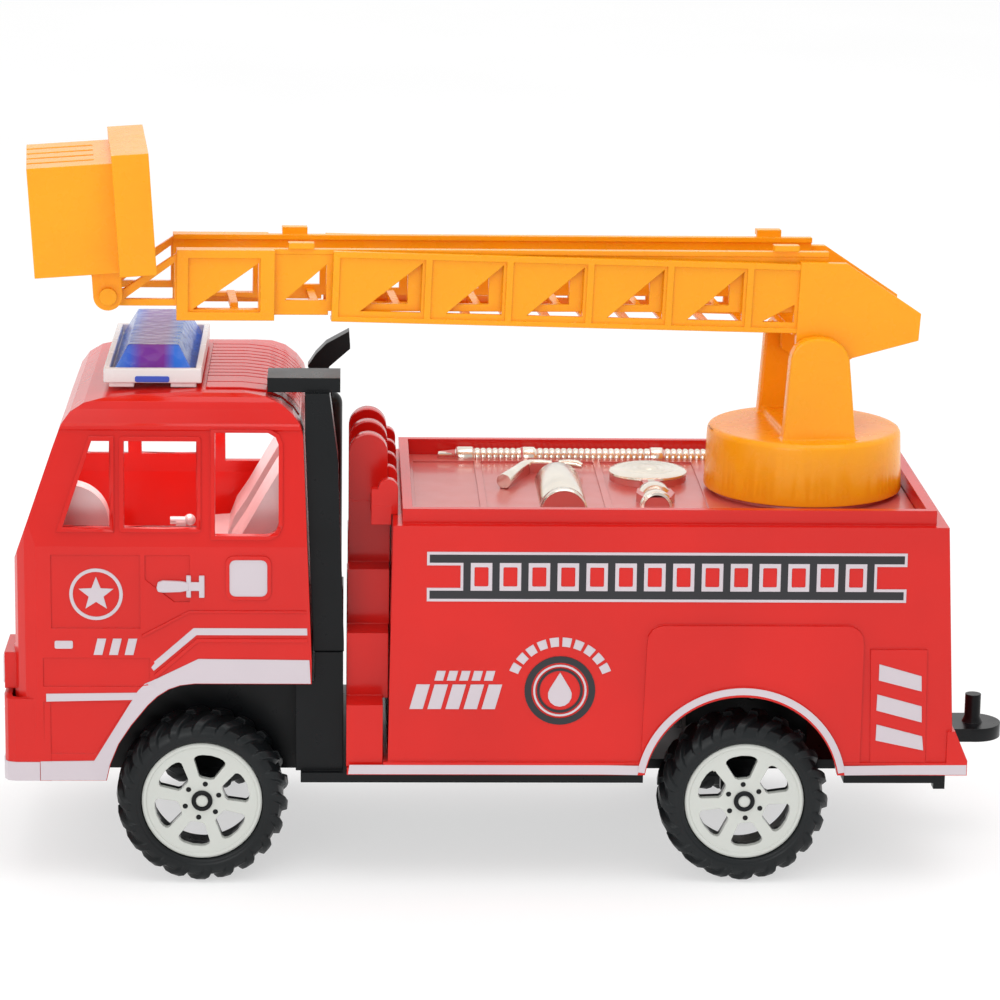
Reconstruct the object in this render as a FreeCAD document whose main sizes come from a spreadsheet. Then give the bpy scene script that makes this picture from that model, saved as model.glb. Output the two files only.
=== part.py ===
import FreeCAD, Part
import math
import os
import re
import Sketcher

V = FreeCAD.Vector

# Driving sizes in millimetres and degrees. X runs from the front bumper (negative) to the tow
# hitch (positive), Y is across the truck, Z is up from the ground.
SIZES = [
    ("wheel_radius", 25.8, "tyre outer radius"),
    ("tyre_wide", 19.0, "tyre width"),
    ("tread_deep", 1.6, "depth of the tread blocks"),
    ("rim_radius", 18.6, "outer radius of the wheel core"),
    ("wheel_face", 54.0, "outer face of the tyres from the centre line"),
    ("front_axle_x", -95.0, "front axle"),
    ("rear_axle_x", 68.4, "rear axle"),
    ("axle_radius", 1.5, "steel axle radius"),
    ("axle_fit", 0.08, "radial running clearance of the axles"),
    ("floor_under", 30.0, "underside of the chassis floor"),
    ("floor_top", 33.0, "top of the chassis floor"),
    ("skirt_low", 34.5, "lower edge of the body skirt"),
    ("cab_low", 31.5, "lower edge of the cab"),
    ("cab_front", -154.2, "front of the bumper"),
    ("cab_back", -62.2, "back wall of the cab"),
    ("cab_half", 51.2, "half width of the cab"),
    ("cab_roof", 148.8, "top of the cab roof"),
    ("arch_top", 61.9, "top of the front wheel arch"),
    ("belt_low", 109.8, "lower edge of the door windows"),
    ("belt_high", 135.3, "upper edge of the door windows"),
    ("body_front", -38.2, "front wall of the rear body at its top"),
    ("body_back", 127.4, "back wall of the rear body at its top"),
    ("body_half", 51.9, "half width of the rear body at its top"),
    ("body_top", 110.9, "shoulder of the rear body"),
    ("draft", 1.2, "how far the walls spread from the shoulder to the skirt"),
    ("wall", 2.0, "wall thickness of the mouldings"),
    ("rim_top", 115.4, "top of the rim around the deck"),
    ("rim_half", 49.0, "half width of the rim"),
    ("deck_top", 110.4, "top of the deck"),
    ("arch_radius", 29.5, "rear wheel arch"),
    ("turret_x", 89.2, "centre of the turntable"),
    ("drum_radius", 30.6, "foot radius of the turntable drum"),
    ("drum_low", 111.7, "underside of the drum"),
    ("drum_top", 130.9, "top of the drum"),
    ("pivot_high", 155.3, "height of the boom pivot"),
    ("post_out", 23.0, "outer face of the turret posts"),
    ("post_in", 18.2, "inner face of the turret posts"),
    ("boom_half", 17.2, "outer face of the boom side frames"),
    ("boom_long", 148.2, "boom length from the pivot to its free end"),
    ("boom_low", 7.4, "lower edge of the boom above the pivot"),
    ("boom_high", 28.5, "upper edge of the boom above the pivot"),
    ("ladder_half", 14.2, "outer face of the sliding ladder"),
    ("ladder_out", 194.0, "sliding ladder head end from the pivot"),
    ("ladder_rail", 32.0, "top of the sliding ladder rails"),
    ("turret_turn", 4.6, "turn of the turntable at rest, degrees"),
    ("boom_pitch", 2.0, "boom slope at rest, degrees"),
    ("ladder_pitch", 0.7, "sliding ladder slope at rest, degrees"),
    ("basket_lean", -4.2, "lean of the basket at rest, degrees"),
    ("basket_x", -214.3, "basket pin along the ladder"),
    ("basket_z", 18.7, "basket pin above the boom pivot"),
    ("gear_module", 0.8, "module of the friction drive gears"),
]
D = {name: value for name, value, note in SIZES}

doc = FreeCAD.newDocument("ToyFireEngine")
sheet = doc.addObject("Spreadsheet::Sheet", "Sizes")
for row, (name, value, note) in enumerate(SIZES, start=1):
    sheet.set("A%d" % row, note)
    sheet.set("B%d" % row, str(value))
    sheet.setAlias("B%d" % row, name)
doc.recompute()


def linked(text):
    """Turn a formula of size names into a formula on the sheet's cells."""
    return re.sub(r"[a-z_]+", lambda m: "Sizes." + m.group(0) if m.group(0) in D else m.group(0), text)


def bind(thing, prop, value):
    """Give a property a number, or tie it to the sheet when it is a formula."""
    if isinstance(value, str):
        thing.setExpression(prop, linked(value))
    else:
        parts = prop.split(".")
        if len(parts) == 1:
            setattr(thing, prop, value)
        else:
            place = thing.Placement
            setattr(place.Base, parts[-1], value)
            thing.Placement = place


def at(thing, x, y, z):
    for axis, value in (("x", x), ("y", y), ("z", z)):
        bind(thing, "Placement.Base." + axis, value)
    return thing


def box(x0, x1, y0, y1, z0, z1):
    """A block between two corners; each limit is a number or a formula."""
    thing = doc.addObject("Part::Box", "Block")
    for prop, low, high in (("Length", x0, x1), ("Width", y0, y1), ("Height", z0, z1)):
        if isinstance(low, str) or isinstance(high, str):
            bind(thing, prop, "(%s) - (%s)" % (high, low))
        else:
            bind(thing, prop, high - low)
    return at(thing, x0, y0, z0)


AXES = {"z": FreeCAD.Rotation(), "y": FreeCAD.Rotation(V(1, 0, 0), -90),
        "x": FreeCAD.Rotation(V(0, 1, 0), 90)}


def rod(x, y, z, radius, length, axis="z"):
    """A cylinder from a start point along an axis."""
    thing = doc.addObject("Part::Cylinder", "Rod")
    bind(thing, "Radius", radius)
    bind(thing, "Height", length)
    thing.Placement = FreeCAD.Placement(V(0, 0, 0), AXES[axis])
    return at(thing, x, y, z)


def cone(x, y, z, low_radius, high_radius, length, axis="z"):
    thing = doc.addObject("Part::Cone", "Cone")
    bind(thing, "Radius1", low_radius)
    bind(thing, "Radius2", high_radius)
    bind(thing, "Height", length)
    thing.Placement = FreeCAD.Placement(V(0, 0, 0), AXES[axis])
    return at(thing, x, y, z)


def ball(x, y, z, radius):
    thing = doc.addObject("Part::Sphere", "Ball")
    bind(thing, "Radius", radius)
    return at(thing, x, y, z)


def fuse(*things):
    thing = doc.addObject("Part::MultiFuse", "Joined")
    thing.Shapes = list(things)
    thing.Refine = True
    return thing


def cut(base, *tools):
    thing = doc.addObject("Part::Cut", "Cut")
    thing.Base = base
    thing.Tool = tools[0] if len(tools) == 1 else fuse(*tools)
    thing.Refine = True
    return thing


def common(*things):
    thing = doc.addObject("Part::MultiCommon", "Shared")
    thing.Shapes = list(things)
    return thing


def plane_of(body, role):
    return [item for item in body.Origin.OriginFeatures if item.Role == role][0]


def rough(value):
    """A starting number for a sketch point; the constraint gives the exact one."""
    if not isinstance(value, str):
        return float(value)
    total = 0.0
    for sign, word in re.findall(r"([+-]?)\s*([a-z_]+|[0-9.]+)", value):
        number = D[word] if word in D else float(word)
        total += -number if sign == "-" else number
    return total


def sketch_on(body, role, points, name="Outline"):
    """A closed outline whose corners are tied to numbers or formulas."""
    sketch = body.newObject("Sketcher::SketchObject", name)
    sketch.AttachmentSupport = [(plane_of(body, role), "")]
    sketch.MapMode = "FlatFace"
    start = [(rough(a), rough(b)) for a, b in points]
    count = len(points)
    for i in range(count):
        a = start[i]
        b = start[(i + 1) % count]
        sketch.addGeometry(Part.LineSegment(V(a[0], a[1], 0), V(b[0], b[1], 0)), False)
    for i in range(count):
        sketch.addConstraint(Sketcher.Constraint("Coincident", i, 2, (i + 1) % count, 1))
    for i in range(count):
        for kind, value, first in (("DistanceX", points[i][0], start[i][0]),
                                   ("DistanceY", points[i][1], start[i][1])):
            index = sketch.addConstraint(Sketcher.Constraint(kind, -1, 1, i, 1, first))
            if isinstance(value, str):
                sketch.setExpression("Constraints[%d]" % index, linked(value))
    return sketch


def prism(role, points, length, x=0.0, y=0.0, z=0.0):
    """A body padded both ways from an outline on one of its origin planes."""
    body = doc.addObject("PartDesign::Body", "Prism")
    sketch = sketch_on(body, role, points)
    pad = body.newObject("PartDesign::Pad", "Pad")
    pad.Profile = sketch
    pad.Midplane = True
    bind(pad, "Length", length)
    return at(body, x, y, z)


def side(points, length, y=0.0):
    """An outline seen from the side (X and Z), running across."""
    return prism("XZ_Plane", points, length, y=y)


def plan(points, low, high):
    """An outline seen from above (X and Y), between two heights."""
    return prism("XY_Plane", points, high - low, z=(low + high) / 2.0)


def drafted(x0, x1, half, z0, u0, u1, upper_half, z1):
    """A block whose top rectangle differs from its bottom one."""
    thing = doc.addObject("Part::Wedge", "Drafted")
    for prop, value in (("Xmin", x0), ("Xmax", x1), ("Ymin", z0), ("Ymax", z1), ("X2min", u0),
                        ("X2max", u1)):
        bind(thing, prop, value)
    for prop, value, sign in (("Zmin", half, "-"), ("Zmax", half, ""), ("Z2min", upper_half, "-"),
                              ("Z2max", upper_half, "")):
        bind(thing, prop, "%s(%s)" % (sign, value))
    thing.Placement = FreeCAD.Placement(V(0, 0, 0), FreeCAD.Rotation(V(1, 0, 0), 90))
    return thing


NODES = []


def node(thing, label, place=None):
    thing.Label = label
    if place is not None:
        thing.Placement = place
    NODES.append(thing)
    return thing


# --- Chassis: floor, wings between the wheels, riser behind the cab, hitch and axle saddles ---
def ring_points(cx, cz, radius, start, stop, steps):
    result = []
    for k in range(steps + 1):
        angle = math.radians(start + (stop - start) * k / steps)
        result.append((cx + radius * math.cos(angle), cz + radius * math.sin(angle)))
    return result


floor_parts = [
    box(-139.0, 129.0, -33.0, 33.0, "floor_under", "floor_top"),
    box(-139.0, -125.5, -44.0, 44.0, "floor_under", "floor_top"),
    box(-65.5, 38.0, -47.5, 47.5, "floor_under", "floor_top"),
    box(99.0, 129.0, -47.5, 47.5, "floor_under", "floor_top"),
    box(-67.0, -52.8, -45.0, 45.0, "floor_top", 61.2),
    box(-61.4, -52.8, -45.0, 45.0, 61.2, 70.0),
    box(-61.4, -52.8, -32.4, -29.0, 69.0, 86.4),
    box(120.0, 137.0, -9.0, 9.0, "floor_under + 1.2", 34.4),
    box(136.0, 145.5, -9.0, 9.0, "floor_under + 1.2", 35.4),
    rod(145.5, 0.0, "floor_under + 1.2", 9.1, 4.2),
    cone(145.7, 0.0, 35.4, 3.3, 2.5, 1.8),
    rod(145.7, 0.0, 37.2, 2.5, 7.2),
    box(126.5, 130.0, -47.0, -43.0, 28.0, "floor_top"),
    box(126.5, 130.0, 43.0, 47.0, 28.0, "floor_top"),
]
for axle_x in ("front_axle_x", "rear_axle_x"):
    for lug_y in (-31.0, 27.0):
        floor_parts.append(box(axle_x + " - 5", axle_x + " + 5", lug_y, lug_y + 4.0, 22.4, "floor_top"))
floor_holes = [
    rod("front_axle_x", -40.0, "wheel_radius", "axle_radius + axle_fit", 80.0, "y"),
    rod("rear_axle_x", -40.0, "wheel_radius", "axle_radius + axle_fit", 80.0, "y"),
    box("rear_axle_x - 10", "rear_axle_x + 10", -8.8, 8.8, 29.0, 34.0),
    box(-59.0, -55.6, -41.0, 41.0, 36.0, 66.0),
]
SCREWS = [(-146.4, -25.0), (-146.4, 25.0), (-28.0, -28.0), (-28.0, 28.0), (118.0, -28.0), (118.0, 28.0)]
wheel_house = cut(box(-123.6, -64.9, -33.0, 33.0, "floor_top - 1", 60.6),
                  box(-121.6, -66.9, -31.0, 31.0, "floor_top - 2", 58.8))
floor_parts.append(wheel_house)
front_tongue = box(-150.0, -138.0, -32.0, 32.0, "floor_under", "floor_top")
floor_parts.append(front_tongue)
for sx, sy in SCREWS:
    floor_holes.append(rod(sx, sy, 29.0, 1.7, 5.0))
chassis = node(cut(fuse(*floor_parts), *floor_holes), "chassis")

# --- Screws that hold the cab and the body to the chassis, one node for all six ---
screw_parts = []
for sx, sy in SCREWS:
    head = rod(sx, sy, 28.3, 3.0, 1.7)
    slot_a = box(sx - 1.6, sx + 1.6, sy - 0.35, sy + 0.35, 28.2, 29.0)
    slot_b = box(sx - 0.35, sx + 0.35, sy - 1.6, sy + 1.6, 28.2, 29.0)
    screw_parts.append(fuse(cut(head, slot_a, slot_b), rod(sx, sy, 30.0, 1.3, 14.0)))
screw_set = doc.addObject("Part::Compound", "Screws")
screw_set.Links = screw_parts
node(screw_set, "chassis_screws")

# --- Cab shell: the shared volume of a side outline, a front outline and a plan outline ---
cab_side = [
    ("cab_front + 0.6", "cab_low"), ("cab_front", 55.5), ("cab_front + 0.3", 58.0), (-151.4, 71.0),
    (-150.7, 72.6), (-150.6, 99.0), (-145.3, 114.0), (-138.8, 133.0), (-136.2, 140.0), (-133.6, 143.6),
    (-129.5, 146.2), (-124.0, 147.5), (-114.0, 148.3), (-96.0, "cab_roof"), (-83.0, "cab_roof"),
    (-76.0, 148.0), (-71.5, 146.2), (-68.0, 143.3), (-65.8, 140.2), (-64.9, 137.0), ("cab_back", 69.0),
    ("cab_back", "arch_top"), (-97.0, "arch_top"), (-101.2, 61.4), (-104.6, 60.2), (-108.0, 58.0),
    (-110.9, 55.2), (-116.0, 48.8), (-119.8, 43.0), (-122.3, 36.8), (-123.5, "cab_low"),
]
cab_front_view = [
    ("-cab_half + 0.5", "cab_low"), ("-cab_half", 58.0), ("-cab_half", 104.0), (-47.0, 138.2),
    (-47.6, 138.8),
    (-47.5, 139.8), (-46.7, 140.4), (-45.9, 144.4), (-45.0, 146.6), (-43.6, 147.9), (-41.2, 148.6),
    (-32.0, 149.3), (-20.0, 149.6), (20.0, 149.6), (32.0, 149.3), (41.2, 148.6), (43.6, 147.9),
    (45.0, 146.6), (45.9, 144.4), (46.7, 140.4), (47.5, 139.8), (47.6, 138.8), (47.0, 138.2),
    ("cab_half", 104.0), ("cab_half", 58.0), ("cab_half - 0.5", "cab_low"),
]
cab_plan = [
    (-60.0, -53.0), (-143.0, -53.0), (-143.9, -51.2), (-147.3, -49.9), (-149.6, -47.2), (-151.0, -43.0),
    (-152.6, -32.0), (-153.6, -18.0), (-154.0, 0.0), (-153.6, 18.0), (-152.6, 32.0), (-151.0, 43.0),
    (-149.6, 47.2), (-147.3, 49.9), (-143.9, 51.2), (-143.0, 53.0), (-60.0, 53.0),
]
bumper_plan = [
    (-140.0, -50.9), (-150.6, -50.9), (-152.8, -50.1), (-153.8, -48.4), (-154.2, -45.0), (-154.2, 45.0),
    (-153.8, 48.4), (-152.8, 50.1), (-150.6, 50.9), (-140.0, 50.9), (-140.0, 48.6), (-149.9, 48.6),
    (-151.4, 47.6), (-151.9, 45.0), (-151.9, -45.0), (-151.4, -47.6), (-149.9, -48.6), (-140.0, -48.6),
]
cab_outer = common(side(cab_side, 110.0),
                   prism("YZ_Plane", cab_front_view, 110.0, x=-108.0),
                   plan(cab_plan, 30.0, 151.0))
inner_side = [
    (-151.4, 29.0), (-151.8, 55.5), (-148.6, 72.0), (-148.4, 98.6), (-143.1, 113.4), (-136.6, 132.3),
    (-134.2, 138.8), (-131.9, 141.9), (-128.6, 144.0), (-123.6, 145.1), (-114.0, 145.9),
    (-96.0, "cab_roof - 2.4"),
    (-83.2, "cab_roof - 2.4"), (-76.9, 145.7), (-72.9, 144.1), (-69.9, 141.6), (-68.0, 138.9),
    (-67.2, 136.4),
    ("cab_back - 2.3", 69.0), ("cab_back - 2.3", 29.0),
]
inner_front = [
    ("-cab_half + 2.7", 29.0), ("-cab_half + 2.2", 58.0), ("-cab_half + 2.2", 103.7), (-44.7, 138.0),
    (-43.7, 143.2), (-42.4, 145.6), (-40.0, 146.4), (-31.6, 147.0), (-20.0, 147.3), (20.0, 147.3),
    (31.6, 147.0), (40.0, 146.4), (42.4, 145.6), (43.7, 143.2), (44.7, 138.0), ("cab_half - 2.2", 103.7),
    ("cab_half - 2.2", 58.0), ("cab_half - 2.7", 29.0),
]
inner_plan = [
    (-60.0, -51.0), (-143.0, -49.6), (-146.8, -45.6), (-149.4, -39.2), (-151.2, -29.4), (-152.0, -15.8),
    (-152.3, 0.0), (-152.0, 15.8), (-151.2, 29.4), (-149.4, 39.2), (-146.8, 45.6), (-143.0, 49.6),
    (-60.0, 51.0),
]
cab_inner = common(side(inner_side, 110.0),
                   prism("YZ_Plane", inner_front, 110.0, x=-108.0),
                   plan(inner_plan, 25.0, 149.0))
cab_cuts = [
    side([(-127.2, "belt_high"), (-122.0, "belt_high"), (-122.0, "belt_low"), (-135.8, "belt_low")], 120.0),
    side([(-117.7, "belt_high"), (-96.4, "belt_high"), (-96.4, "belt_low"), (-117.7, "belt_low")], 120.0),
    side([(-90.9, 137.9), (-75.2, 137.9), (-73.0, 136.6), (-72.1, 134.4), (-72.1, 110.8), (-73.0, 108.6),
          (-75.2, 107.5), (-90.9, 107.5)], 120.0),
]
for screen_y in (-21.9, 21.9):
    cab_cuts.append(side([(-165.0, 104.5), (-130.0, 104.5), (-130.0, 134.0), (-165.0, 134.0)], 38.6,
                         y=screen_y))
for way in (-1, 1):
    face = way * 51.4
    cab_cuts += [
        side([(-139.4, 101.4), (-113.1, 101.4), (-113.1, 79.0), (-139.4, 79.0)], 1.4, y=face),
        side([(-111.6, 101.4), (-98.4, 101.4), (-98.4, 87.2), (-103.0, 87.2), (-111.6, 94.0)], 1.4, y=face),
        side([(-142.0, 69.8), (-110.4, 69.8), (-110.4, 62.0), (-113.6, 61.0), (-142.0, 61.0)], 1.4, y=face),
        side([(-142.0, 56.2), (-116.4, 56.2), (-126.6, 40.0), (-142.0, 40.0)], 1.4, y=face),
    ]
for bar in range(5):
    cab_cuts.append(box(-156.0, -149.9, -27.0, 27.0, 76.0 + 4.4 * bar, 78.2 + 4.4 * bar))
cab_body = cut(cab_outer, cab_inner, *cab_cuts)
bumper = cut(plan(bumper_plan, 31.5, 57.0),
             box(-156.0, -153.7, -60.0, -28.0, 52.6, 53.8), box(-156.0, -153.7, 28.0, 60.0, 52.6, 53.8))
bezels = [box(-154.1, -150.0, 24.0, 44.0, 58.4, 69.6), box(-154.1, -150.0, -44.0, -24.0, 58.4, 69.6)]
cab_bosses = [bumper] + bezels
for sx, sy in SCREWS[:2]:
    post = fuse(rod(sx, sy, "floor_top", 3.4, 30.0), box(-152.2, -146.4, sy - 1.2, sy + 1.2, 36.0, 58.0))
    cab_bosses.append(cut(post, rod(sx, sy, 32.0, 1.3, 14.0)))
node(fuse(cab_body, *cab_bosses), "cab_shell")

# --- Cab fittings ---
seat_shell = [(-97.0, 78.4), (-74.0, 78.4), (-67.7, 127.4), (-69.2, 130.2), (-70.8, 128.8),
              (-72.5, 122.8), (-77.3, 114.6), (-83.0, 104.6), (-86.8, 99.0), (-89.0, 93.2), (-97.0, 92.6)]
tray = fuse(
    box(-141.0, -66.4, -44.0, 44.0, 77.0, 78.6),
    side(seat_shell, 27.0, y=-22.0),
    side(seat_shell, 27.0, y=22.0),
    rod(-128.0, -20.0, 33.0, 3.0, 44.5),
    rod(-128.0, 20.0, 33.0, 3.0, 44.5),
    box(-80.0, -76.0, -14.0, 14.0, 71.0, 77.4),
    box(-104.6, -101.6, -1.6, 1.6, 78.4, 99.4),
    rod(-106.4, 0.0, 99.6, 1.2, 6.0, "x"),
    ball(-100.4, 0.0, 99.8, 1.8),
)
seat_hollow = [(-95.2, 76.0), (-76.0, 76.0), (-70.4, 116.0), (-74.0, 114.8), (-81.2, 102.6), (-84.9, 97.4),
               (-87.2, 91.0), (-95.2, 90.6)]
tray_cuts = [side(seat_hollow, 23.4, y=-22.0), side(seat_hollow, 23.4, y=22.0)]
node(cut(tray, *tray_cuts), "seat_tray")
dash = fuse(
    common(rod(-134.6, -38.0, 108.0, 11.6, 7.0, "y"), box(-143.6, -110.0, -40.0, 40.0, 100.0, 122.0)),
    box(-141.0, -124.0, -37.6, -31.4, 86.0, 108.0),
    box(-141.0, -121.0, -36.0, 36.0, 78.9, 88.0),
)
dash_trim = common(dash, common(side(inner_side, 84.0), plan(inner_plan, 25.0, 149.0)))
node(cut(dash_trim, box(-160.0, -141.4, -60.0, 60.0, 60.0, 98.0),
         box(-139.4, -122.8, -34.2, 34.2, 70.0, 86.4)), "dashboard")

# --- Roof light bar: tray, lamp insert and clear lens ---
bar_tray = cut(fuse(box(-124.2, -95.2, -36.0, 36.0, 150.3, 154.7),
                    box(-122.6, -115.2, -35.4, 35.4, "cab_roof + 0.1", 150.3),
                    box(-104.4, -96.8, -35.4, 35.4, "cab_roof + 0.1", 150.3)),
               box(-122.4, -97.0, -34.2, 34.2, 151.8, 156.0),
               box(-125.0, -94.0, -30.0, 30.0, 145.0, 150.3))
node(bar_tray, "light_bar_tray")
insert = fuse(box(-118.2, -101.2, -29.6, 29.6, 151.9, 153.4),
              box(-116.0, -103.4, -27.0, -12.0, 153.4, 157.2),
              box(-116.0, -103.4, -8.0, 8.0, 153.4, 156.4),
              box(-116.0, -103.4, 12.0, 27.0, 153.4, 157.2))
node(insert, "light_bar_reflector")


def lens_block(rise, inset, low):
    body = doc.addObject("Part::Wedge", "Lens")
    body.Xmin, body.Xmax = -122.2 + inset, -97.2 - inset
    body.Zmin, body.Zmax = -34.0 + inset, 34.0 - inset
    body.X2min, body.X2max = -117.2 + inset, -102.2 - inset
    body.Z2min, body.Z2max = -29.0 + inset, 29.0 - inset
    body.Ymin, body.Ymax = low, rise
    body.Placement = FreeCAD.Placement(V(0, 0, 0), FreeCAD.Rotation(V(1, 0, 0), 90))
    return body


node(cut(lens_block(160.6, 0.0, 151.9), lens_block(159.4, 1.2, 150.0)), "light_bar_lens")

# --- Headlights ---
for lamp_y, label in ((-34.0, "headlight_near"), (34.0, "headlight_far")):
    node(box(-154.6, -154.1, lamp_y - 8.6, lamp_y + 8.6, 59.8, 68.2), label)

# --- Air intake and exhaust between the cab and the body ---
intake = fuse(
    side([(-75.6, 148.9), (-54.0, 148.9), (-54.0, 153.2), (-75.6, 153.2)], 15.0, y=-34.0),
    side([(-64.5, 149.0), (-57.2, 149.0), (-54.6, 129.0), (-52.6, 70.1), (-61.7, 70.1), (-62.9, 100.0),
          (-64.4, 137.0)], 11.0, y=-38.5),
)
node(intake, "air_intake")
stack_tip = side([(-64.4, 141.4), (-61.9, 145.2), (-58.6, 148.6), (-51.4, 152.6), (-51.0, 147.0),
                  (-57.8, 141.0),
                  (-56.6, 131.0), (-60.8, 131.0)], 6.4, y=38.0)
stack = fuse(rod(-57.3, 38.0, 70.1, 3.9, 58.9), ball(-57.3, 38.0, 128.9, 3.9), stack_tip)
node(stack, "exhaust_stack")

# --- Rear body: drafted box with an open recess on top, skirt flange, fender and stripe panels ---
body_outer = drafted("body_front - draft", "body_back + 3.9", "body_half + draft", "skirt_low",
                     "body_front", "body_back", "body_half", "body_top")
body_inner = drafted("body_front - draft + wall", "body_back + 3.9 - wall", "body_half + draft - wall",
                     "skirt_low - 1", "body_front + wall", "body_back - wall", "body_half - wall",
                     "deck_top - 4")
rim = box("body_front + 2.8", "body_back - 3.5", "-rim_half", "rim_half", "body_top - 0.5", "rim_top")
flange = fuse(
    cut(box("body_front - 2.6", "body_back + 5.2", -54.0, 54.0, "skirt_low", 38.4),
        box("body_front - draft + wall", "body_back + 3.9 - wall", -51.1, 51.1, 30.0, 45.0)),
    cut(box(-51.6, "body_front - 1", -54.0, 54.0, "skirt_low", 36.6),
        box(-52.6, "body_front + 2", -48.4, 48.4, 30.0, 45.0)),
    side([(129.0, "skirt_low"), (135.4, "skirt_low"), (135.4, 39.1), (131.4, 48.3), (129.0, 48.3)], 108.0),
)
fender_points = ([(36.6, 36.0), (37.8, 75.0)]
                 + [(42.8 - 5.0 * math.cos(math.radians(a)), 75.9 + 5.0 * math.sin(math.radians(a)))
                    for a in (20, 45, 70, 90)]
                 + [(97.9 + 5.0 * math.sin(math.radians(a)), 75.9 + 5.0 * math.cos(math.radians(a)))
                    for a in (0, 20, 45, 70)]
                 + [(102.9, 75.0), (102.9, 36.0)])
panels = []
for way in (-1, 1):
    panels.append(side(fender_points, 3.6, y=way * 51.9))
    panels.append(side([(106.0, 37.0), (105.0, 73.6), (122.0, 73.6), (122.8, 37.0)], 3.0, y=way * 51.9))
arch_outline = ring_points(67.0, 30.2, 31.9, 8.0, 172.0, 24)
for way in (-1, 1):
    panels.append(side(arch_outline, 4.8, y=way * 52.2))
body_cuts = [
    box("body_front + 5.8", "body_back - 6.4", -46.3, 46.3, "deck_top - 2", 120.0),
    rod("turret_x", 0.0, 100.0, 8.0, 20.0),
    rod(67.0, -60.0, 29.6, "arch_radius", 25.0, "y"),
    rod(67.0, 35.0, 29.6, "arch_radius", 25.0, "y"),
]
hull = cut(fuse(body_outer, rim, flange, *panels), body_inner, *body_cuts)
body_bosses = []
for sx, sy in SCREWS[2:]:
    body_bosses.append(cut(rod(sx, sy, "floor_top", 3.5, "deck_top - 3 - floor_top"),
                           rod(sx, sy, 32.0, 1.3, 14.0)))
node(fuse(hull, *body_bosses), "rear_body")

# --- Deck moulding with its raised tools ---
deck_cuts = [rod("turret_x", 0.0, 100.0, 8.0, 20.0)]
for left, right in ((-31.0, -11.5), (-9.3, 26.5), (28.7, 58.0)):
    deck_cuts.append(box(left, right, -37.0, 37.0, "deck_top - 0.6", "deck_top + 1"))
hoses = []
for way in (-1, 1):
    hoses.append(rod(-17.0, way * 41.6, "deck_top + 0.4", 2.6, 129.0, "x"))
    hoses.append(cone(-22.5, way * 41.6, "deck_top + 0.4", 1.7, 2.3, 5.5, "x"))
    hoses.append(rod(-17.0, way * 41.6, "deck_top + 0.4", 3.1, 5.5, "x"))
    hoses.append(rod(3.6, way * 41.6, "deck_top + 0.4", 3.1, 4.4, "x"))
    hoses.append(rod(45.0, way * 41.6, "deck_top + 0.4", 3.1, 4.4, "x"))
tools = [
    rod(14.0, -23.0, "deck_top - 2.4", 7.2, 38.0, "y"),
    cone(14.0, 15.0, "deck_top - 2.4", 7.2, 4.0, 4.0, "y"),
    rod(14.0, 18.5, "deck_top + 0.2", 1.6, 6.5, "y"),
    prism("XY_Plane", [(13.0, 24.8), (5.0, 24.8), (2.6, 22.8), (-4.4, 2.4), (-1.8, 1.4), (5.6, 22.0),
                       (13.0, 22.0)],
          3.4, z=111.4),
    rod(42.4, 14.8, "deck_top - 0.8", 12.0, 2.8),
    rod(42.4, 14.8, "deck_top + 1.8", 2.6, 0.9),
    prism("XY_Plane", [(39.4, 6.0), (45.4, 6.0), (45.0, -6.0), (47.6, -9.6), (48.4, -15.0), (46.6, -21.5),
                       (38.6, -21.5), (36.6, -15.0), (37.2, -9.6), (39.8, -6.0)], 4.0, z=110.6),
]
turret_ring = cut(rod("turret_x", 0.0, "deck_top - 0.2", 28.0, 1.1), rod("turret_x", 0.0, 108.0, 25.0, 6.0))
deck_plate = cut(box("body_front + 6", "body_back - 6.6", -46.1, 46.1, "deck_top - 2", "deck_top"),
                 *deck_cuts)
deck_all = common(fuse(deck_plate, turret_ring, *(hoses + tools)),
                  box("body_front + 6", "body_back - 6.6", -46.1, 46.1, "deck_top - 2", 118.0))
node(deck_all, "deck_moulding")

# --- Step and pump moulding ahead of the rear body ---
steps = [
    box(-51.8, -40.9, -52.6, 52.6, 36.7, 55.8),
    box(-51.8, -39.3, -42.0, 42.0, 55.0, 75.2),
    box(-51.6, -39.0, -31.0, 31.0, 75.0, 92.2),
    box(-51.4, -38.8, -21.6, 21.6, 92.0, 111.2),
    box(-44.6, -38.4, -38.0, 38.0, 107.8, 111.5),
]
lobes = []
for row in (-18.2, 0.0, 18.2):
    lobes.append(box(-51.4, -39.6, row - 3.0, row + 3.0, 110.0, 125.7))
    lobes.append(rod(-45.5, row - 3.0, 125.7, 5.9, 6.0, "y"))
for row in (-36.0, -18.0, 0.0, 18.0, 36.0):
    lobes.append(box(-44.6, -36.6, row - 1.9, row + 1.9, 110.0, 118.6))
    lobes.append(rod(-39.6, row - 1.9, 118.6, 3.0, 3.8, "y"))
lobes.append(box(-44.6, -38.4, -38.0, 38.0, 110.0, 113.6))
module = cut(fuse(*(steps + lobes)), box(-50.0, -42.0, -29.0, 29.0, 30.0, 90.0),
             box(-50.0, -42.0, -19.6, 19.6, 89.0, 106.0),
             box(-38.6, -36.0, -60.0, 60.0, 90.0, 111.0))
node(module, "step_moulding")

# --- Tow hitch is part of the chassis; wheels, tyres and axles follow ---


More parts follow.
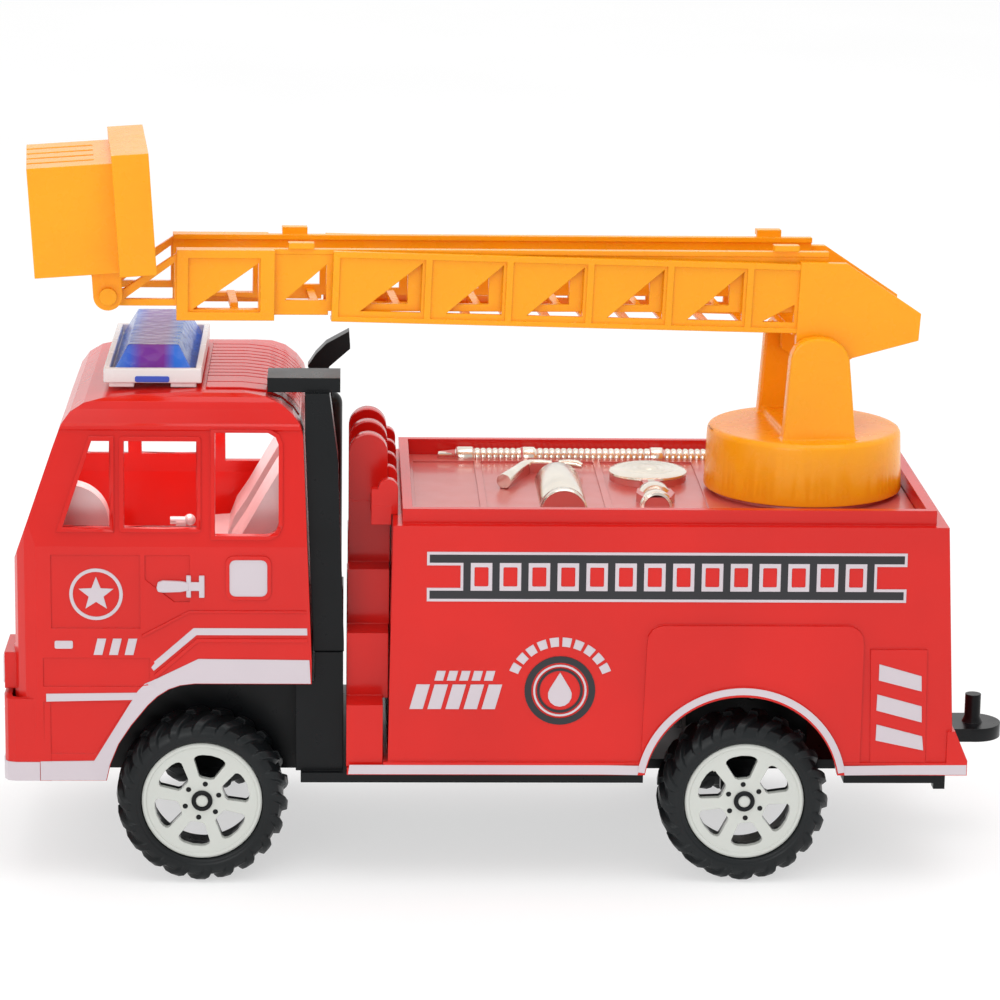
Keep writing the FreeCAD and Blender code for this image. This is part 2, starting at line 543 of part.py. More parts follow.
def tyre(way, axle_x, label):
    inner = D["wheel_face"] - D["tyre_wide"]
    outer = D["wheel_face"]
    face = [(way * inner, "rim_radius"), (way * inner, "wheel_radius - 4.6"),
            (way * (inner + 2.6), "wheel_radius - 0.9"),
            (way * (inner + 5.0), "wheel_radius"), (way * (outer - 5.0), "wheel_radius"),
            (way * (outer - 2.6), "wheel_radius - 0.9"), (way * outer, "wheel_radius - 4.6"),
            (way * (outer - 0.6), "rim_radius")]
    body = doc.addObject("PartDesign::Body", "Tyre")
    sketch = sketch_on(body, "YZ_Plane", face)
    spin = body.newObject("PartDesign::Revolution", "Carcass")
    spin.Profile = sketch
    spin.ReferenceAxis = (sketch, ["H_Axis"])
    spin.Angle = 360
    doc.recompute()
    for start, name in ((inner - 1.0, "InnerGap"), (outer - 7.0, "OuterGap")):
        copy = sketch_on(body, "XZ_Plane", [(-1.7, "wheel_radius - tread_deep"),
                                            (1.7, "wheel_radius - tread_deep"),
                                            (2.1, "wheel_radius + 1"), (-2.1, "wheel_radius + 1")], name)
        middle = way * (start + 4.0)
        copy.AttachmentOffset = FreeCAD.Placement(V(0, 0, -middle), FreeCAD.Rotation())
        gap = body.newObject("PartDesign::Pocket", name + "Cut")
        gap.Profile = copy
        gap.Midplane = True
        gap.Length = 8.0
        doc.recompute()
        ring = body.newObject("PartDesign::PolarPattern", name + "Ring")
        ring.Originals = [gap]
        ring.Axis = (plane_of(body, "Y_Axis"), [""])
        ring.Angle = 360
        ring.Occurrences = 20
        body.Tip = ring
        doc.recompute()
    at(body, axle_x, 0.0, "wheel_radius")
    return node(body, label)


def sector_cut(inner, outer, inner_half, outer_half, middle, length, count, phase):
    """Rounded trapezoid openings around a wheel face."""
    tools_made = []
    for k in range(count):
        angle = math.radians(phase + 360.0 * k / count)
        points = []
        half_shape = [(inner, inner_half - 1.3), (inner + 0.4, inner_half - 0.4), (inner + 1.2, inner_half),
                      (outer - 2.2, outer_half), (outer - 1.4, outer_half - 0.2),
                      (outer - 0.8, outer_half - 0.9), (outer - 0.3, outer_half - 2.2), (outer, 0.0)]
        mirrored = [(radius, -offset) for radius, offset in half_shape[-2::-1]]
        for radius, offset in half_shape + mirrored:
            points.append((radius * math.cos(angle) - offset * math.sin(angle),
                           radius * math.sin(angle) + offset * math.cos(angle)))
        tools_made.append(side(points, length, y=middle))
    return tools_made


def wheel(way, axle_x, prefix, phase):
    """Black core with its hub and a pale trim disc on the outside."""
    outer = way * (D["wheel_face"] - 1.6)
    core_ring = cut(rod(0.0, -8.5, 0.0, "rim_radius", 14.0, "y"), rod(0.0, -9.5, 0.0, 16.2, 18.0, "y"))
    disc = rod(0.0, 3.2, 0.0, 17.0, 2.3, "y")
    hub = rod(0.0, -8.5, 0.0, 3.0, 16.6, "y")
    holes = sector_cut(6.9, 14.4, 2.8, 4.9, 4.0, 6.0, 6, phase)
    core = cut(fuse(core_ring, cut(disc, *holes), hub), rod(0.0, -12.0, 0.0, "axle_radius", 30.0, "y"))
    trim_holes = sector_cut(6.9, 14.4, 2.7, 4.8, 6.0, 8.0, 6, phase)
    trim = cut(rod(0.0, 5.6, 0.0, 17.4, 2.2, "y"), *(trim_holes + [rod(0.0, 0.0, 0.0, 3.1, 12.0, "y")]))
    flip = FreeCAD.Rotation() if way > 0 else FreeCAD.Rotation(V(0, 0, 1), 180)
    base = V(D[axle_x], way * (D["wheel_face"] - 9.4), D["wheel_radius"])
    node(core, prefix + "_core", FreeCAD.Placement(base, flip))
    node(trim, prefix + "_trim", FreeCAD.Placement(base, flip))


def axle_rod(axle_x, label):
    pin = rod(axle_x, -49.5, "wheel_radius", "axle_radius", 99.0, "y")
    return node(pin, label)


for axle_x, place, phase in (("front_axle_x", "front", 41.0), ("rear_axle_x", "rear", 25.0)):
    axle_rod(axle_x, place + "_axle")
    tyre(-1, axle_x, place + "_tyre_near")
    tyre(1, axle_x, place + "_tyre_far")
    wheel(-1, axle_x, place + "_wheel_near", phase)
    wheel(1, axle_x, place + "_wheel_far", phase)


# --- Friction drive: gears with involute teeth ---
def gear_shape(teeth, face_from, face_to, bore, first_tooth):
    """A spur gear about Y with 25 degree stub teeth; angles are measured from +X towards +Z."""
    size = D["gear_module"]
    pitch = size * teeth / 2.0
    press = math.radians(25.0)
    base = pitch * math.cos(press)
    tip = pitch + 0.8 * size
    root = pitch - 1.05 * size
    half = math.pi / teeth * 0.43
    start = math.tan(press) - press
    points = []
    for k in range(teeth):
        middle = math.radians(first_tooth) + 2.0 * math.pi * k / teeth
        flank = []
        for step in range(6):
            radius = max(base, root) + (tip - max(base, root)) * step / 5.0
            turn = math.acos(min(1.0, base / radius))
            flank.append((radius, half + start - (math.tan(turn) - turn)))
        flank.insert(0, (root, flank[0][1]))
        for radius, offset in flank:
            points.append((radius, middle - offset))
        for radius, offset in reversed(flank):
            points.append((radius, middle + offset))
    corners = [V(r * math.cos(a), face_from, r * math.sin(a)) for r, a in points]
    outline = Part.makePolygon(corners + [corners[0]])
    blank = Part.Face(outline).extrude(V(0, face_to - face_from, 0))
    if bore:
        blank = blank.cut(Part.makeCylinder(bore, face_to - face_from + 2.0, V(0, face_from - 1.0, 0),
                                            V(0, 1, 0)))
    return blank


def feature(shape, label, place):
    thing = doc.addObject("Part::Feature", "Gear")
    thing.Shape = shape
    return node(thing, label, place)


def cylinder_y(radius, y0, y1):
    return Part.makeCylinder(radius, y1 - y0, V(0, y0, 0), V(0, 1, 0))


AXLE_TEETH, PINION_TEETH, IDLER_TEETH = 16, 10, 20
rear_axle = V(D["rear_axle_x"], 0, D["wheel_radius"])
idler_rise = D["gear_module"] * (AXLE_TEETH + PINION_TEETH) / 2.0
idler_at = rear_axle + V(0, 0, idler_rise)
fly_reach = D["gear_module"] * (IDLER_TEETH + PINION_TEETH) / 2.0
fly_turn = math.radians(60.0)
fly_at = idler_at + V(fly_reach * math.cos(fly_turn), 0, fly_reach * math.sin(fly_turn))
feature(gear_shape(AXLE_TEETH, -7.2, -3.6, D["axle_radius"], 90.0), "axle_gear",
        FreeCAD.Placement(rear_axle, FreeCAD.Rotation()))
pinion = gear_shape(PINION_TEETH, -7.4, -2.6, None, -90.0 + 180.0 / PINION_TEETH)
large = gear_shape(IDLER_TEETH, -2.7, 0.0, None, 60.0)
idler = pinion.fuse(large).fuse(cylinder_y(1.2, -10.8, 10.8))
feature(idler, "idler_gear", FreeCAD.Placement(idler_at, FreeCAD.Rotation()))
fly_pinion = gear_shape(PINION_TEETH, -3.0, 0.6, None, 240.0 + 180.0 / PINION_TEETH)
flywheel = fly_pinion.fuse(cylinder_y(10.0, 2.0, 7.6)).fuse(cylinder_y(1.0, -10.8, 10.8))
feature(flywheel, "flywheel", FreeCAD.Placement(fly_at, FreeCAD.Rotation()))

housing = cut(box(54.0, 92.0, -9.0, 11.0, "floor_top", 61.0),
              box(55.8, 90.2, -10.0, 9.0, 32.0, 59.2),
              rod(idler_at.x, 8.0, idler_at.z, 1.28, 4.0, "y"),
              rod(fly_at.x, 8.0, fly_at.z, 1.08, 4.0, "y"))
node(housing, "motor_housing")
cover = cut(box(54.0, 92.0, -11.0, -9.0, "floor_top", 61.0),
            rod(idler_at.x, -12.0, idler_at.z, 1.28, 4.0, "y"),
            rod(fly_at.x, -12.0, fly_at.z, 1.08, 4.0, "y"))
node(cover, "motor_cover")

# --- Turntable: hollow drum, spindle and two posts ---
TURN = FreeCAD.Rotation(D["turret_turn"], 0, 0)
TURRET = FreeCAD.Placement(V(D["turret_x"], 0, 0), TURN)
drum = cut(fuse(cone(0.0, 0.0, "drum_low", "drum_radius", "drum_radius - 0.8", "drum_top - drum_low - 1"),
                cone(0.0, 0.0, "drum_top - 1", "drum_radius - 0.8", "drum_radius - 1.8", 1.0)),
           rod(0.0, 0.0, "drum_low - 1", "drum_radius - 3", "drum_top - drum_low - 1.2"))
post_outline = ([(-11.0, 130.5), (-10.7, 134.0)]
                + [(-9.5, 152.0), (-9.3, 155.6), (-8.8, 157.8), (-7.8, 159.6), (-6.3, 161.0), (-4.3, 161.9),
                   (-2.0, 162.3), (0.6, 162.3), (2.9, 161.9), (5.0, 161.0), (6.8, 159.6), (8.0, 157.8),
                   (8.9, 155.6), (9.3, 152.0)]
                + [(11.2, 134.0), (11.6, 130.5)])
posts = [side(post_outline, 4.8, y=-20.6), side(post_outline, 4.8, y=20.6)]
stiffeners = [box(-9.5, 9.5, -18.3, 18.3, "drum_top - 0.4", 132.6)]
spindle = rod(0.0, 0.0, 106.1, 7.85, 24.0)
sockets = [rod(0.0, -21.2, "pivot_high", 2.6, 4.0, "y"), rod(0.0, 17.2, "pivot_high", 2.6, 4.0, "y"),
           rod(0.0, 0.0, 100.0, 1.3, 18.0)]
node(cut(fuse(drum, spindle, *(posts + stiffeners)), *sockets), "turntable", TURRET)
washer = cut(rod(0.0, 0.0, 104.9, 10.5, 1.2), rod(0.0, 0.0, 104.0, 1.6, 4.0))
node(washer, "turntable_washer", TURRET)
turret_screw = fuse(cut(rod(0.0, 0.0, 103.0, 3.4, 1.9), box(-2.0, 2.0, -0.4, 0.4, 102.8, 103.8)),
                    rod(0.0, 0.0, 104.9, 1.3, 12.0))
node(turret_screw, "turntable_screw", TURRET)

# --- Boom: fixed ladder, drawn about its pivot with the free end towards -X ---
BOOM = FreeCAD.Placement(V(D["turret_x"], 0, D["pivot_high"]),
                         FreeCAD.Rotation(D["turret_turn"], D["boom_pitch"], 0))
LADDER = FreeCAD.Placement(V(D["turret_x"], 0, D["pivot_high"]),
                           FreeCAD.Rotation(D["turret_turn"], D["ladder_pitch"], 0))
BAYS = [-148.2, -120.6, -96.2, -71.8, -47.5, -23.1, -7.0]


def plate_holes(edges, low, high, length, y):
    holes = []
    for left, right in zip(edges[:-1], edges[1:]):
        if right - left > 20.0:
            start = left + (8.6 if left == edges[0] else 6.8)
            holes.append(side([(start, low), (right - 0.9, low), (right - 0.9, high)], length, y=y))
    return holes


boom_plate = [("-boom_long", "boom_low"), (-6.6, "boom_low"), (-6.6, "boom_high"),
              ("-boom_long", "boom_high")]
boom_edges = [
    [("-boom_long", "boom_high - 1.8"), (-6.6, "boom_high - 1.8"), (-6.6, "boom_high"),
     ("-boom_long", "boom_high")],
    [("-boom_long", "boom_low"), (-6.6, "boom_low"), (-6.6, "boom_low + 1.5"),
     ("-boom_long", "boom_low + 1.5")],
]
for post_x in BAYS[:-1]:
    boom_edges.append([(post_x, 7.6), (post_x + 2.0, 7.6), (post_x + 2.0, 28.2), (post_x, 28.2)])
end_plate = [(-7.0, 3.9), (-5.2, 3.0), (-4.6, -3.6), (-1.0, -5.6), (3.0, -5.2), (6.6, -2.6), (10.7, 0.3),
             (30.8, 6.2), (31.0, 14.5), (7.2, 29.2), (-7.0, 29.2)]
boom_parts = []
boom_cuts = []
for way in (-1, 1):
    boom_parts.append(side(boom_plate, 1.4, y=way * 15.7))
    for edge in boom_edges:
        boom_parts.append(side(edge, 2.2, y=way * 16.1))
    boom_parts.append(side(end_plate, 2.6, y=way * 16.3))
    boom_parts.append(rod(0.0, 17.0 if way > 0 else -21.0, 0.0, 2.45, 4.0, "y"))
    boom_parts.append(box(-148.2, -6.0, 12.6 if way > 0 else -16.0, 16.0 if way > 0 else -12.6, "boom_low",
                          8.4))
    boom_cuts += plate_holes(BAYS, 10.6, 25.6, 6.0, way * 15.95)
    boom_cuts.append(side([(-17.6, 10.6), (-8.0, 10.6), (-8.0, 16.0)], 6.0, y=way * 15.95))
rung_x = -144.0
while rung_x < -10.0:
    boom_parts.append(box(rung_x, rung_x + 2.6, -14.0, 14.0, "boom_low", 8.4))
    rung_x += 12.17
boom_parts.append(box(-8.0, 29.6, -15.6, 15.6, 6.6, 8.6))
boom_shape = cut(fuse(*boom_parts), *boom_cuts)
node(boom_shape, "boom", BOOM)

# --- Sliding ladder: narrower truss inside the boom, wide head, top rails with stops ---
ladder_parts = []
ladder_cuts = []
LADDER_BAYS = [-168.4, -148.5, -124.1, -99.7, -75.3, -50.9, -26.5, 2.8]
nose = [("-ladder_out + 1", 15.2), ("-ladder_out + 1", "ladder_rail - 0.4"), (-209.4, 20.2), (-213.0, 19.6),
        (-213.0, 15.2)]
bracket_edges = [
    [(-194.0, 10.9), (-190.6, 10.9), (-190.6, "ladder_rail"), (-194.0, "ladder_rail")],
    [(-169.2, 10.9), (-165.0, 10.9), (-165.0, "ladder_rail"), (-169.2, "ladder_rail")],
    [(-194.0, 10.9), (-165.0, 10.9), (-165.0, 13.4), (-194.0, 13.4)],
    [(-194.0, "ladder_rail - 2.4"), (-165.0, "ladder_rail - 2.4"), (-165.0, "ladder_rail"),
     (-194.0, "ladder_rail")],
]
for way in (-1, 1):
    ladder_parts.append(side([(-194.0, 13.4), (-166.0, 12.2), (-148.8, 12.2), (-148.8, 13.4), (2.8, 13.4),
                              (2.8, "ladder_rail"), (-194.0, "ladder_rail")], 1.6, y=way * 13.4))
    ladder_parts.append(box(-194.0, 2.8, 11.6 if way > 0 else -14.4, 14.4 if way > 0 else -11.6,
                            "ladder_rail - 1.5", "ladder_rail"))
    ladder_parts.append(side([("-ladder_out", 11.4), (-165.4, 11.4), (-165.4, "ladder_rail - 0.2"),
                              ("-ladder_out", "ladder_rail - 0.2")], 1.6, y=way * 15.0))
    for edge in bracket_edges:
        ladder_parts.append(side(edge, 2.6, y=way * 15.6))
    ladder_parts.append(side(nose, 2.0, y=way * 15.2))
    ladder_parts.append(rod("basket_x", 14.2 if way > 0 else -16.2, "basket_z", 4.2, 2.0, "y"))
    for stop in (-160.9, -14.4):
        ladder_parts.append(box(stop, stop + 7.6, 12.8 if way > 0 else -14.4, 14.4 if way > 0 else -12.8,
                                "ladder_rail - 0.2", "ladder_rail + 1.0"))
        ladder_parts.append(box(stop, stop + 7.6, 12.8 if way > 0 else -16.4, 16.4 if way > 0 else -12.8,
                                "ladder_rail + 0.5", "ladder_rail + 2.2"))
    ladder_cuts.append(side([(-161.8, 16.6), (-149.4, 16.6), (-149.4, 27.4)], 2.4, y=way * 13.4))
    ladder_cuts += plate_holes(LADDER_BAYS[1:], 15.6, 27.4, 2.4, way * 13.4)
    ladder_cuts.append(side([(-189.2, 14.0), (-169.7, 14.0), (-169.7, 28.0)], 9.0, y=way * 15.0))
    ladder_cuts.append(side([(-209.4, 17.2), (-194.6, 17.2), (-194.6, 28.2)], 6.0, y=way * 15.2))
    ladder_cuts.append(rod("basket_x", -20.0, "basket_z", 1.6, 40.0, "y"))
rung_x = -190.0
while rung_x < 0.0:
    ladder_parts.append(box(rung_x, rung_x + 2.4, -14.0, 14.0, 13.4, 15.2))
    rung_x += 12.17
ladder_shape = cut(fuse(*ladder_parts), *ladder_cuts)
node(ladder_shape, "sliding_ladder", LADDER)

# --- Basket: drawn about its pin, opening towards +X ---
BASKET = LADDER.multiply(FreeCAD.Placement(V(D["basket_x"], 0, D["basket_z"]),
                                           FreeCAD.Rotation(0, D["basket_lean"], 0)))
basket_box = cut(box(-20.9, 4.0, -25.0, 25.0, 7.5, 39.9), box(-19.1, 14.0, -23.2, 23.2, 9.3, 38.1))
collar = cut(box(3.8, 14.6, -31.0, 31.0, 7.2, 43.0), box(5.6, 15.0, -29.2, 29.2, 9.0, 41.2),
             box(0.0, 15.0, -23.2, 23.2, 9.3, 38.1))
grooves = [box(-21.4, -1.2, row - 1.1, row + 1.1, 39.2, 41.0) for row in (-15.0, -5.0, 5.0, 15.0)]
lugs = []
for way in (-1, 1):
    y0 = 17.3 if way > 0 else -20.3
    lugs.append(rod(0.0, y0, 0.0, 4.3, 3.0, "y"))
    lugs.append(box(-4.3, 4.3, y0, y0 + 3.0, 0.0, 8.4))
lug_hole = rod(0.0, -30.0, 0.0, 1.5, 60.0, "y")
basket = cut(fuse(basket_box, collar, *lugs), lug_hole, *grooves)
node(basket, "basket", BASKET)
pin = fuse(rod(0.0, -20.9, 0.0, 1.5, 41.8, "y"), rod(0.0, -21.7, 0.0, 2.6, 1.4, "y"),
           rod(0.0, 20.3, 0.0, 2.6, 1.4, "y"))
node(pin, "basket_pin", BASKET)

doc.recompute()

bad = []
for item in doc.Objects:
    if any(word in ("Invalid", "Error") for word in item.State):
        bad.append("%s %s %s" % (item.Name, item.Label, item.State))
for item in NODES:
    if item.Shape.isNull() or not item.Shape.isValid():
        bad.append("%s has no valid shape" % item.Label)
if bad:
    raise SystemExit("Failed: " + "; ".join(bad[:20]))

os.makedirs("parts", exist_ok=True)
for old in os.listdir("parts"):
    if old.endswith(".step"):
        os.remove(os.path.join("parts", old))
for item in NODES:
    item.Shape.exportStep("parts/%s.step" % item.Label)
    size = item.Shape.BoundBox
    print("%-22s solids %d volume %9.1f  x %7.1f %7.1f  y %6.1f %6.1f  z %6.1f %6.1f" % (
        item.Label, len(item.Shape.Solids), item.Shape.Volume,
        size.XMin, size.XMax, size.YMin, size.YMax, size.ZMin, size.ZMax))
print("pieces", len(NODES))
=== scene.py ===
import bpy, bmesh, math
from mathutils import Vector, Matrix
from mathutils.bvhtree import BVHTree
from mathutils.geometry import tessellate_polygon


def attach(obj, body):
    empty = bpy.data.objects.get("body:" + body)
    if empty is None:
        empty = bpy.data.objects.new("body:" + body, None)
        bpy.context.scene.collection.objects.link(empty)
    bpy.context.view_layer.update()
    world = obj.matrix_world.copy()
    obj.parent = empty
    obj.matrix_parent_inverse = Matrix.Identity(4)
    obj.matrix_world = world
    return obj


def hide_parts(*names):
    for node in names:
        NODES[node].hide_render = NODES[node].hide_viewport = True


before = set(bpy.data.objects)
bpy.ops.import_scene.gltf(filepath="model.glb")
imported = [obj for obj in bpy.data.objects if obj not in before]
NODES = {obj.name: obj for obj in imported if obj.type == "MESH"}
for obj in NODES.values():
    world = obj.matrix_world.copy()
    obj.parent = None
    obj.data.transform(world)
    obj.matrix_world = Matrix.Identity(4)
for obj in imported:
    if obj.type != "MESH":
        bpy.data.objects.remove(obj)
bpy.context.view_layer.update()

MM = 0.001


# ---------------------------------------------------------------- materials
class Graph:
    """A small helper round a material's node tree."""

    def __init__(self, name):
        self.material = bpy.data.materials.new(name)
        self.material.use_nodes = True
        self.tree = self.material.node_tree
        self.tree.nodes.clear()
        self.output = self.add("ShaderNodeOutputMaterial")
        self.shader = self.add("ShaderNodeBsdfPrincipled")
        self.link(self.shader.outputs["BSDF"], self.output.inputs["Surface"])

    def add(self, kind, **values):
        node = self.tree.nodes.new(kind)
        for key, value in values.items():
            setattr(node, key, value)
        return node

    def link(self, a, b):
        self.tree.links.new(a, b)

    def put(self, **values):
        for key, value in values.items():
            self.shader.inputs[key.replace("_", " ")].default_value = value

    def coords(self):
        return self.add("ShaderNodeTexCoord").outputs["Object"]

    def noise(self, scale, detail=3.0, rough=0.5):
        node = self.add("ShaderNodeTexNoise")
        node.inputs["Scale"].default_value = scale
        node.inputs["Detail"].default_value = detail
        node.inputs["Roughness"].default_value = rough
        self.link(self.coords(), node.inputs["Vector"])
        return node.outputs["Fac"]

    def ramp(self, fac, low, high, start=0.35, stop=0.65):
        node = self.add("ShaderNodeValToRGB")
        node.color_ramp.elements[0].position = start
        node.color_ramp.elements[1].position = stop
        node.color_ramp.elements[0].color = (*low[:3], 1.0)
        node.color_ramp.elements[1].color = (*high[:3], 1.0)
        self.link(fac, node.inputs["Fac"])
        return node.outputs["Color"]

    def level(self, fac, low, high):
        node = self.add("ShaderNodeMapRange")
        node.inputs["To Min"].default_value = low
        node.inputs["To Max"].default_value = high
        self.link(fac, node.inputs["Value"])
        return node.outputs["Result"]

    def bump(self, height, strength, distance, normal=None):
        node = self.add("ShaderNodeBump")
        node.inputs["Strength"].default_value = strength
        node.inputs["Distance"].default_value = distance
        self.link(height, node.inputs["Height"])
        if normal is not None:
            self.link(normal, node.inputs["Normal"])
        return node.outputs["Normal"]

    def rounded(self, radius):
        node = self.add("ShaderNodeBevel", samples=4)
        node.inputs["Radius"].default_value = radius
        return node.outputs["Normal"]


def shade(color, factor):
    return tuple(min(1.0, c * factor) for c in color[:3])


def plastic(name, color, rough=0.22, spread=0.05, edge=0.0004, coat=0.0, level=0.5, sub=0.0, wave=0.00004):
    """Moulded plastic: faint colour mottle, uneven gloss, soft edges and a slight mould waviness."""
    g = Graph(name)
    mottle = g.noise(22.0, 4.0)
    g.link(g.ramp(mottle, shade(color, 1.0 - spread), shade(color, 1.0 + spread)),
           g.shader.inputs["Base Color"])
    g.link(g.level(g.noise(140.0, 5.0), rough * 0.8, rough * 1.3), g.shader.inputs["Roughness"])
    normal = g.rounded(edge)
    normal = g.bump(g.noise(60.0, 2.0), 0.25, wave, normal)
    normal = g.bump(g.noise(900.0, 2.0), 0.12, 0.00001, normal)
    g.link(normal, g.shader.inputs["Normal"])
    g.put(IOR=1.5, Specular_IOR_Level=level, Coat_Weight=coat, Coat_Roughness=0.08)
    if sub:
        g.put(Subsurface_Weight=sub, Subsurface_Scale=0.004)
        g.shader.inputs["Subsurface Radius"].default_value = (1.0, 0.4, 0.15)
    return g.material


def metal(name, color, rough=0.25, edge=0.0002, grain=400.0, metallic=1.0):
    g = Graph(name)
    g.link(g.ramp(g.noise(80.0, 3.0), shade(color, 0.92), shade(color, 1.05)), g.shader.inputs["Base Color"])
    g.link(g.level(g.noise(grain, 4.0), rough * 0.7, rough * 1.4), g.shader.inputs["Roughness"])
    g.link(g.bump(g.noise(grain, 3.0), 0.15, 0.00001, g.rounded(edge)), g.shader.inputs["Normal"])
    g.put(Metallic=metallic)
    return g.material


RED = plastic("red_plastic", (0.66, 0.011, 0.007), rough=0.18, level=0.36)
# The deck moulding is the same red plastic as the cab. Its paler, pinkish base colour is a painted sheen for
# the upward-facing deck.
DECK_SHEEN_RED = plastic("deck_red_painted_sheen", (0.60, 0.10, 0.085), rough=0.3, level=0.7, coat=0.3)
ORANGE = plastic("orange_plastic", (0.97, 0.375, 0.006), rough=0.26, level=0.32, sub=0.1)
BLACK = plastic("black_plastic", (0.005, 0.006, 0.007), rough=0.28, spread=0.25, level=0.2)
WHITE = plastic("white_plastic", (0.80, 0.77, 0.76), rough=0.25, spread=0.02)
# The seats and dashboard are silver plating. The pink tint in the base colour is a painted reflection of the
# red cab walls.
SEAT_PLATING_PINK_REFLECTION = metal("seat_plating_painted_red_reflection", (0.72, 0.60, 0.60), rough=0.34, grain=60.0, metallic=0.45)
SILVER = metal("silver_plating", (0.84, 0.78, 0.68), rough=0.2, metallic=0.9)
STEEL = metal("steel", (0.55, 0.55, 0.57), rough=0.3, grain=700.0)
TRIM = plastic("wheel_silver", (0.60, 0.62, 0.58), rough=0.3, spread=0.03, edge=0.0003)
GEAR = plastic("gear_nylon", (0.80, 0.77, 0.66), rough=0.45, edge=0.0001)
ZINC = metal("zinc_casting", (0.42, 0.42, 0.43), rough=0.45, grain=250.0)
RUBBER = plastic("tyre_rubber", (0.007, 0.009, 0.010), rough=0.36, spread=0.25, level=0.26)
PRINT = plastic("white_print", (0.62, 0.55, 0.59), rough=0.3, spread=0.03, edge=0.0001)
INK = plastic("black_print", (0.012, 0.012, 0.016), rough=0.32, spread=0.15, edge=0.0001)
PURPLE = plastic("purple_reflector", (0.20, 0.03, 0.26), rough=0.15, spread=0.4, level=0.8)


def lens_material():
    """Clear blue cover, violet over the middle, with fine moulded prisms."""
    g = Graph("blue_lens")
    split = g.add("ShaderNodeSeparateXYZ")
    g.link(g.coords(), split.inputs["Vector"])
    middle = g.add("ShaderNodeMapRange")
    middle.inputs["From Min"].default_value = -0.1222
    middle.inputs["From Max"].default_value = -0.0972
    g.link(split.outputs["X"], middle.inputs["Value"])
    ramp = g.add("ShaderNodeValToRGB")
    stops = ramp.color_ramp.elements
    stops[0].position, stops[0].color = 0.0, (0.10, 0.32, 0.95, 1)
    stops[1].position, stops[1].color = 1.0, (0.05, 0.22, 0.90, 1)
    for place, color in ((0.22, (0.05, 0.16, 0.80, 1)), (0.36, (0.22, 0.04, 0.42, 1)),
                         (0.62, (0.24, 0.03, 0.36, 1)), (0.76, (0.03, 0.20, 0.85, 1))):
        stop = stops.new(place)
        stop.color = color
    g.link(middle.outputs["Result"], ramp.inputs["Fac"])
    g.link(ramp.outputs["Color"], g.shader.inputs["Base Color"])
    wave = g.add("ShaderNodeTexVoronoi")
    wave.inputs["Scale"].default_value = 260.0
    g.link(g.coords(), wave.inputs["Vector"])
    g.link(g.bump(wave.outputs["Distance"], 0.6, 0.0004), g.shader.inputs["Normal"])
    g.link(g.level(g.noise(120.0), 0.05, 0.12), g.shader.inputs["Roughness"])
    g.put(Alpha=0.72, IOR=1.45, Specular_IOR_Level=0.35, Coat_Weight=0.2, Coat_Roughness=0.05)
    return g.material


LENS = lens_material()
MARK = plastic("blue_mark", (0.03, 0.08, 0.55), rough=0.3, spread=0.1)
LAMP = plastic("lamp_glass", (0.82, 0.84, 0.86), rough=0.1, spread=0.04, level=0.8)


def paint(obj, material):
    obj.data.materials.clear()
    obj.data.materials.append(material)


LOOKS = {
    RED: ["cab_shell", "rear_body", "step_moulding"],
    DECK_SHEEN_RED: ["deck_moulding"],
    ORANGE: ["turntable", "boom", "sliding_ladder", "basket", "basket_pin"],
    BLACK: ["chassis", "air_intake", "exhaust_stack", "motor_housing", "motor_cover",
            "front_wheel_near_core", "front_wheel_far_core", "rear_wheel_near_core", "rear_wheel_far_core"],
    WHITE: ["light_bar_tray"],
    LAMP: ["headlight_near", "headlight_far"],
    SEAT_PLATING_PINK_REFLECTION: ["seat_tray", "dashboard"],
    STEEL: ["chassis_screws", "front_axle", "rear_axle", "turntable_washer", "turntable_screw"],
    TRIM: ["front_wheel_near_trim", "front_wheel_far_trim", "rear_wheel_near_trim", "rear_wheel_far_trim"],
    GEAR: ["axle_gear", "idler_gear"],
    ZINC: ["flywheel"],
    LENS: ["light_bar_lens"],
    PURPLE: ["light_bar_reflector"],
}
for material, names in LOOKS.items():
    for name in names:
        paint(NODES[name], material)


def soften(name, width, angle=32.0, segments=2):
    """Round a moulding's sharp edges with modifiers; the CAD mesh itself stays as it is."""
    obj = NODES[name]
    weld = obj.modifiers.new("weld", "WELD")
    weld.merge_threshold = 0.000004
    flat = obj.modifiers.new("flat", "DECIMATE")
    flat.decimate_type = "DISSOLVE"
    flat.angle_limit = math.radians(0.6)
    edge = obj.modifiers.new("edge", "BEVEL")
    edge.width = width * MM
    edge.segments = segments
    edge.limit_method = "ANGLE"
    edge.angle_limit = math.radians(angle)
    edge.use_clamp_overlap = True


# ---------------------------------------------------------------- building pieces
def piece(name, verts, faces, material, body, smooth=35.0, bevel=0.0):
    """A new mesh, with points in millimetres, that rides on a body."""
    mesh = bpy.data.meshes.new(name)
    mesh.from_pydata([Vector(v) * MM for v in verts], [], faces)
    return finish_piece(name, mesh, material, body, smooth, bevel)


def finish_piece(name, mesh, material, body, smooth=35.0, bevel=0.0):
    bm = bmesh.new()
    bm.from_mesh(mesh)
    bmesh.ops.remove_doubles(bm, verts=bm.verts, dist=0.000001)
    bmesh.ops.recalc_face_normals(bm, faces=bm.faces)
    bm.to_mesh(mesh)
    bm.free()
    for poly in mesh.polygons:
        poly.use_smooth = True
    mesh.set_sharp_from_angle(angle=math.radians(smooth))
    obj = bpy.data.objects.new(name, mesh)
    bpy.context.scene.collection.objects.link(obj)
    mesh.materials.append(material)
    if bevel:
        edge = obj.modifiers.new("edge", "BEVEL")
        edge.width = bevel * MM
        edge.segments = 2
        edge.limit_method = "ANGLE"
        edge.angle_limit = math.radians(32)
    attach(obj, body)
    return obj


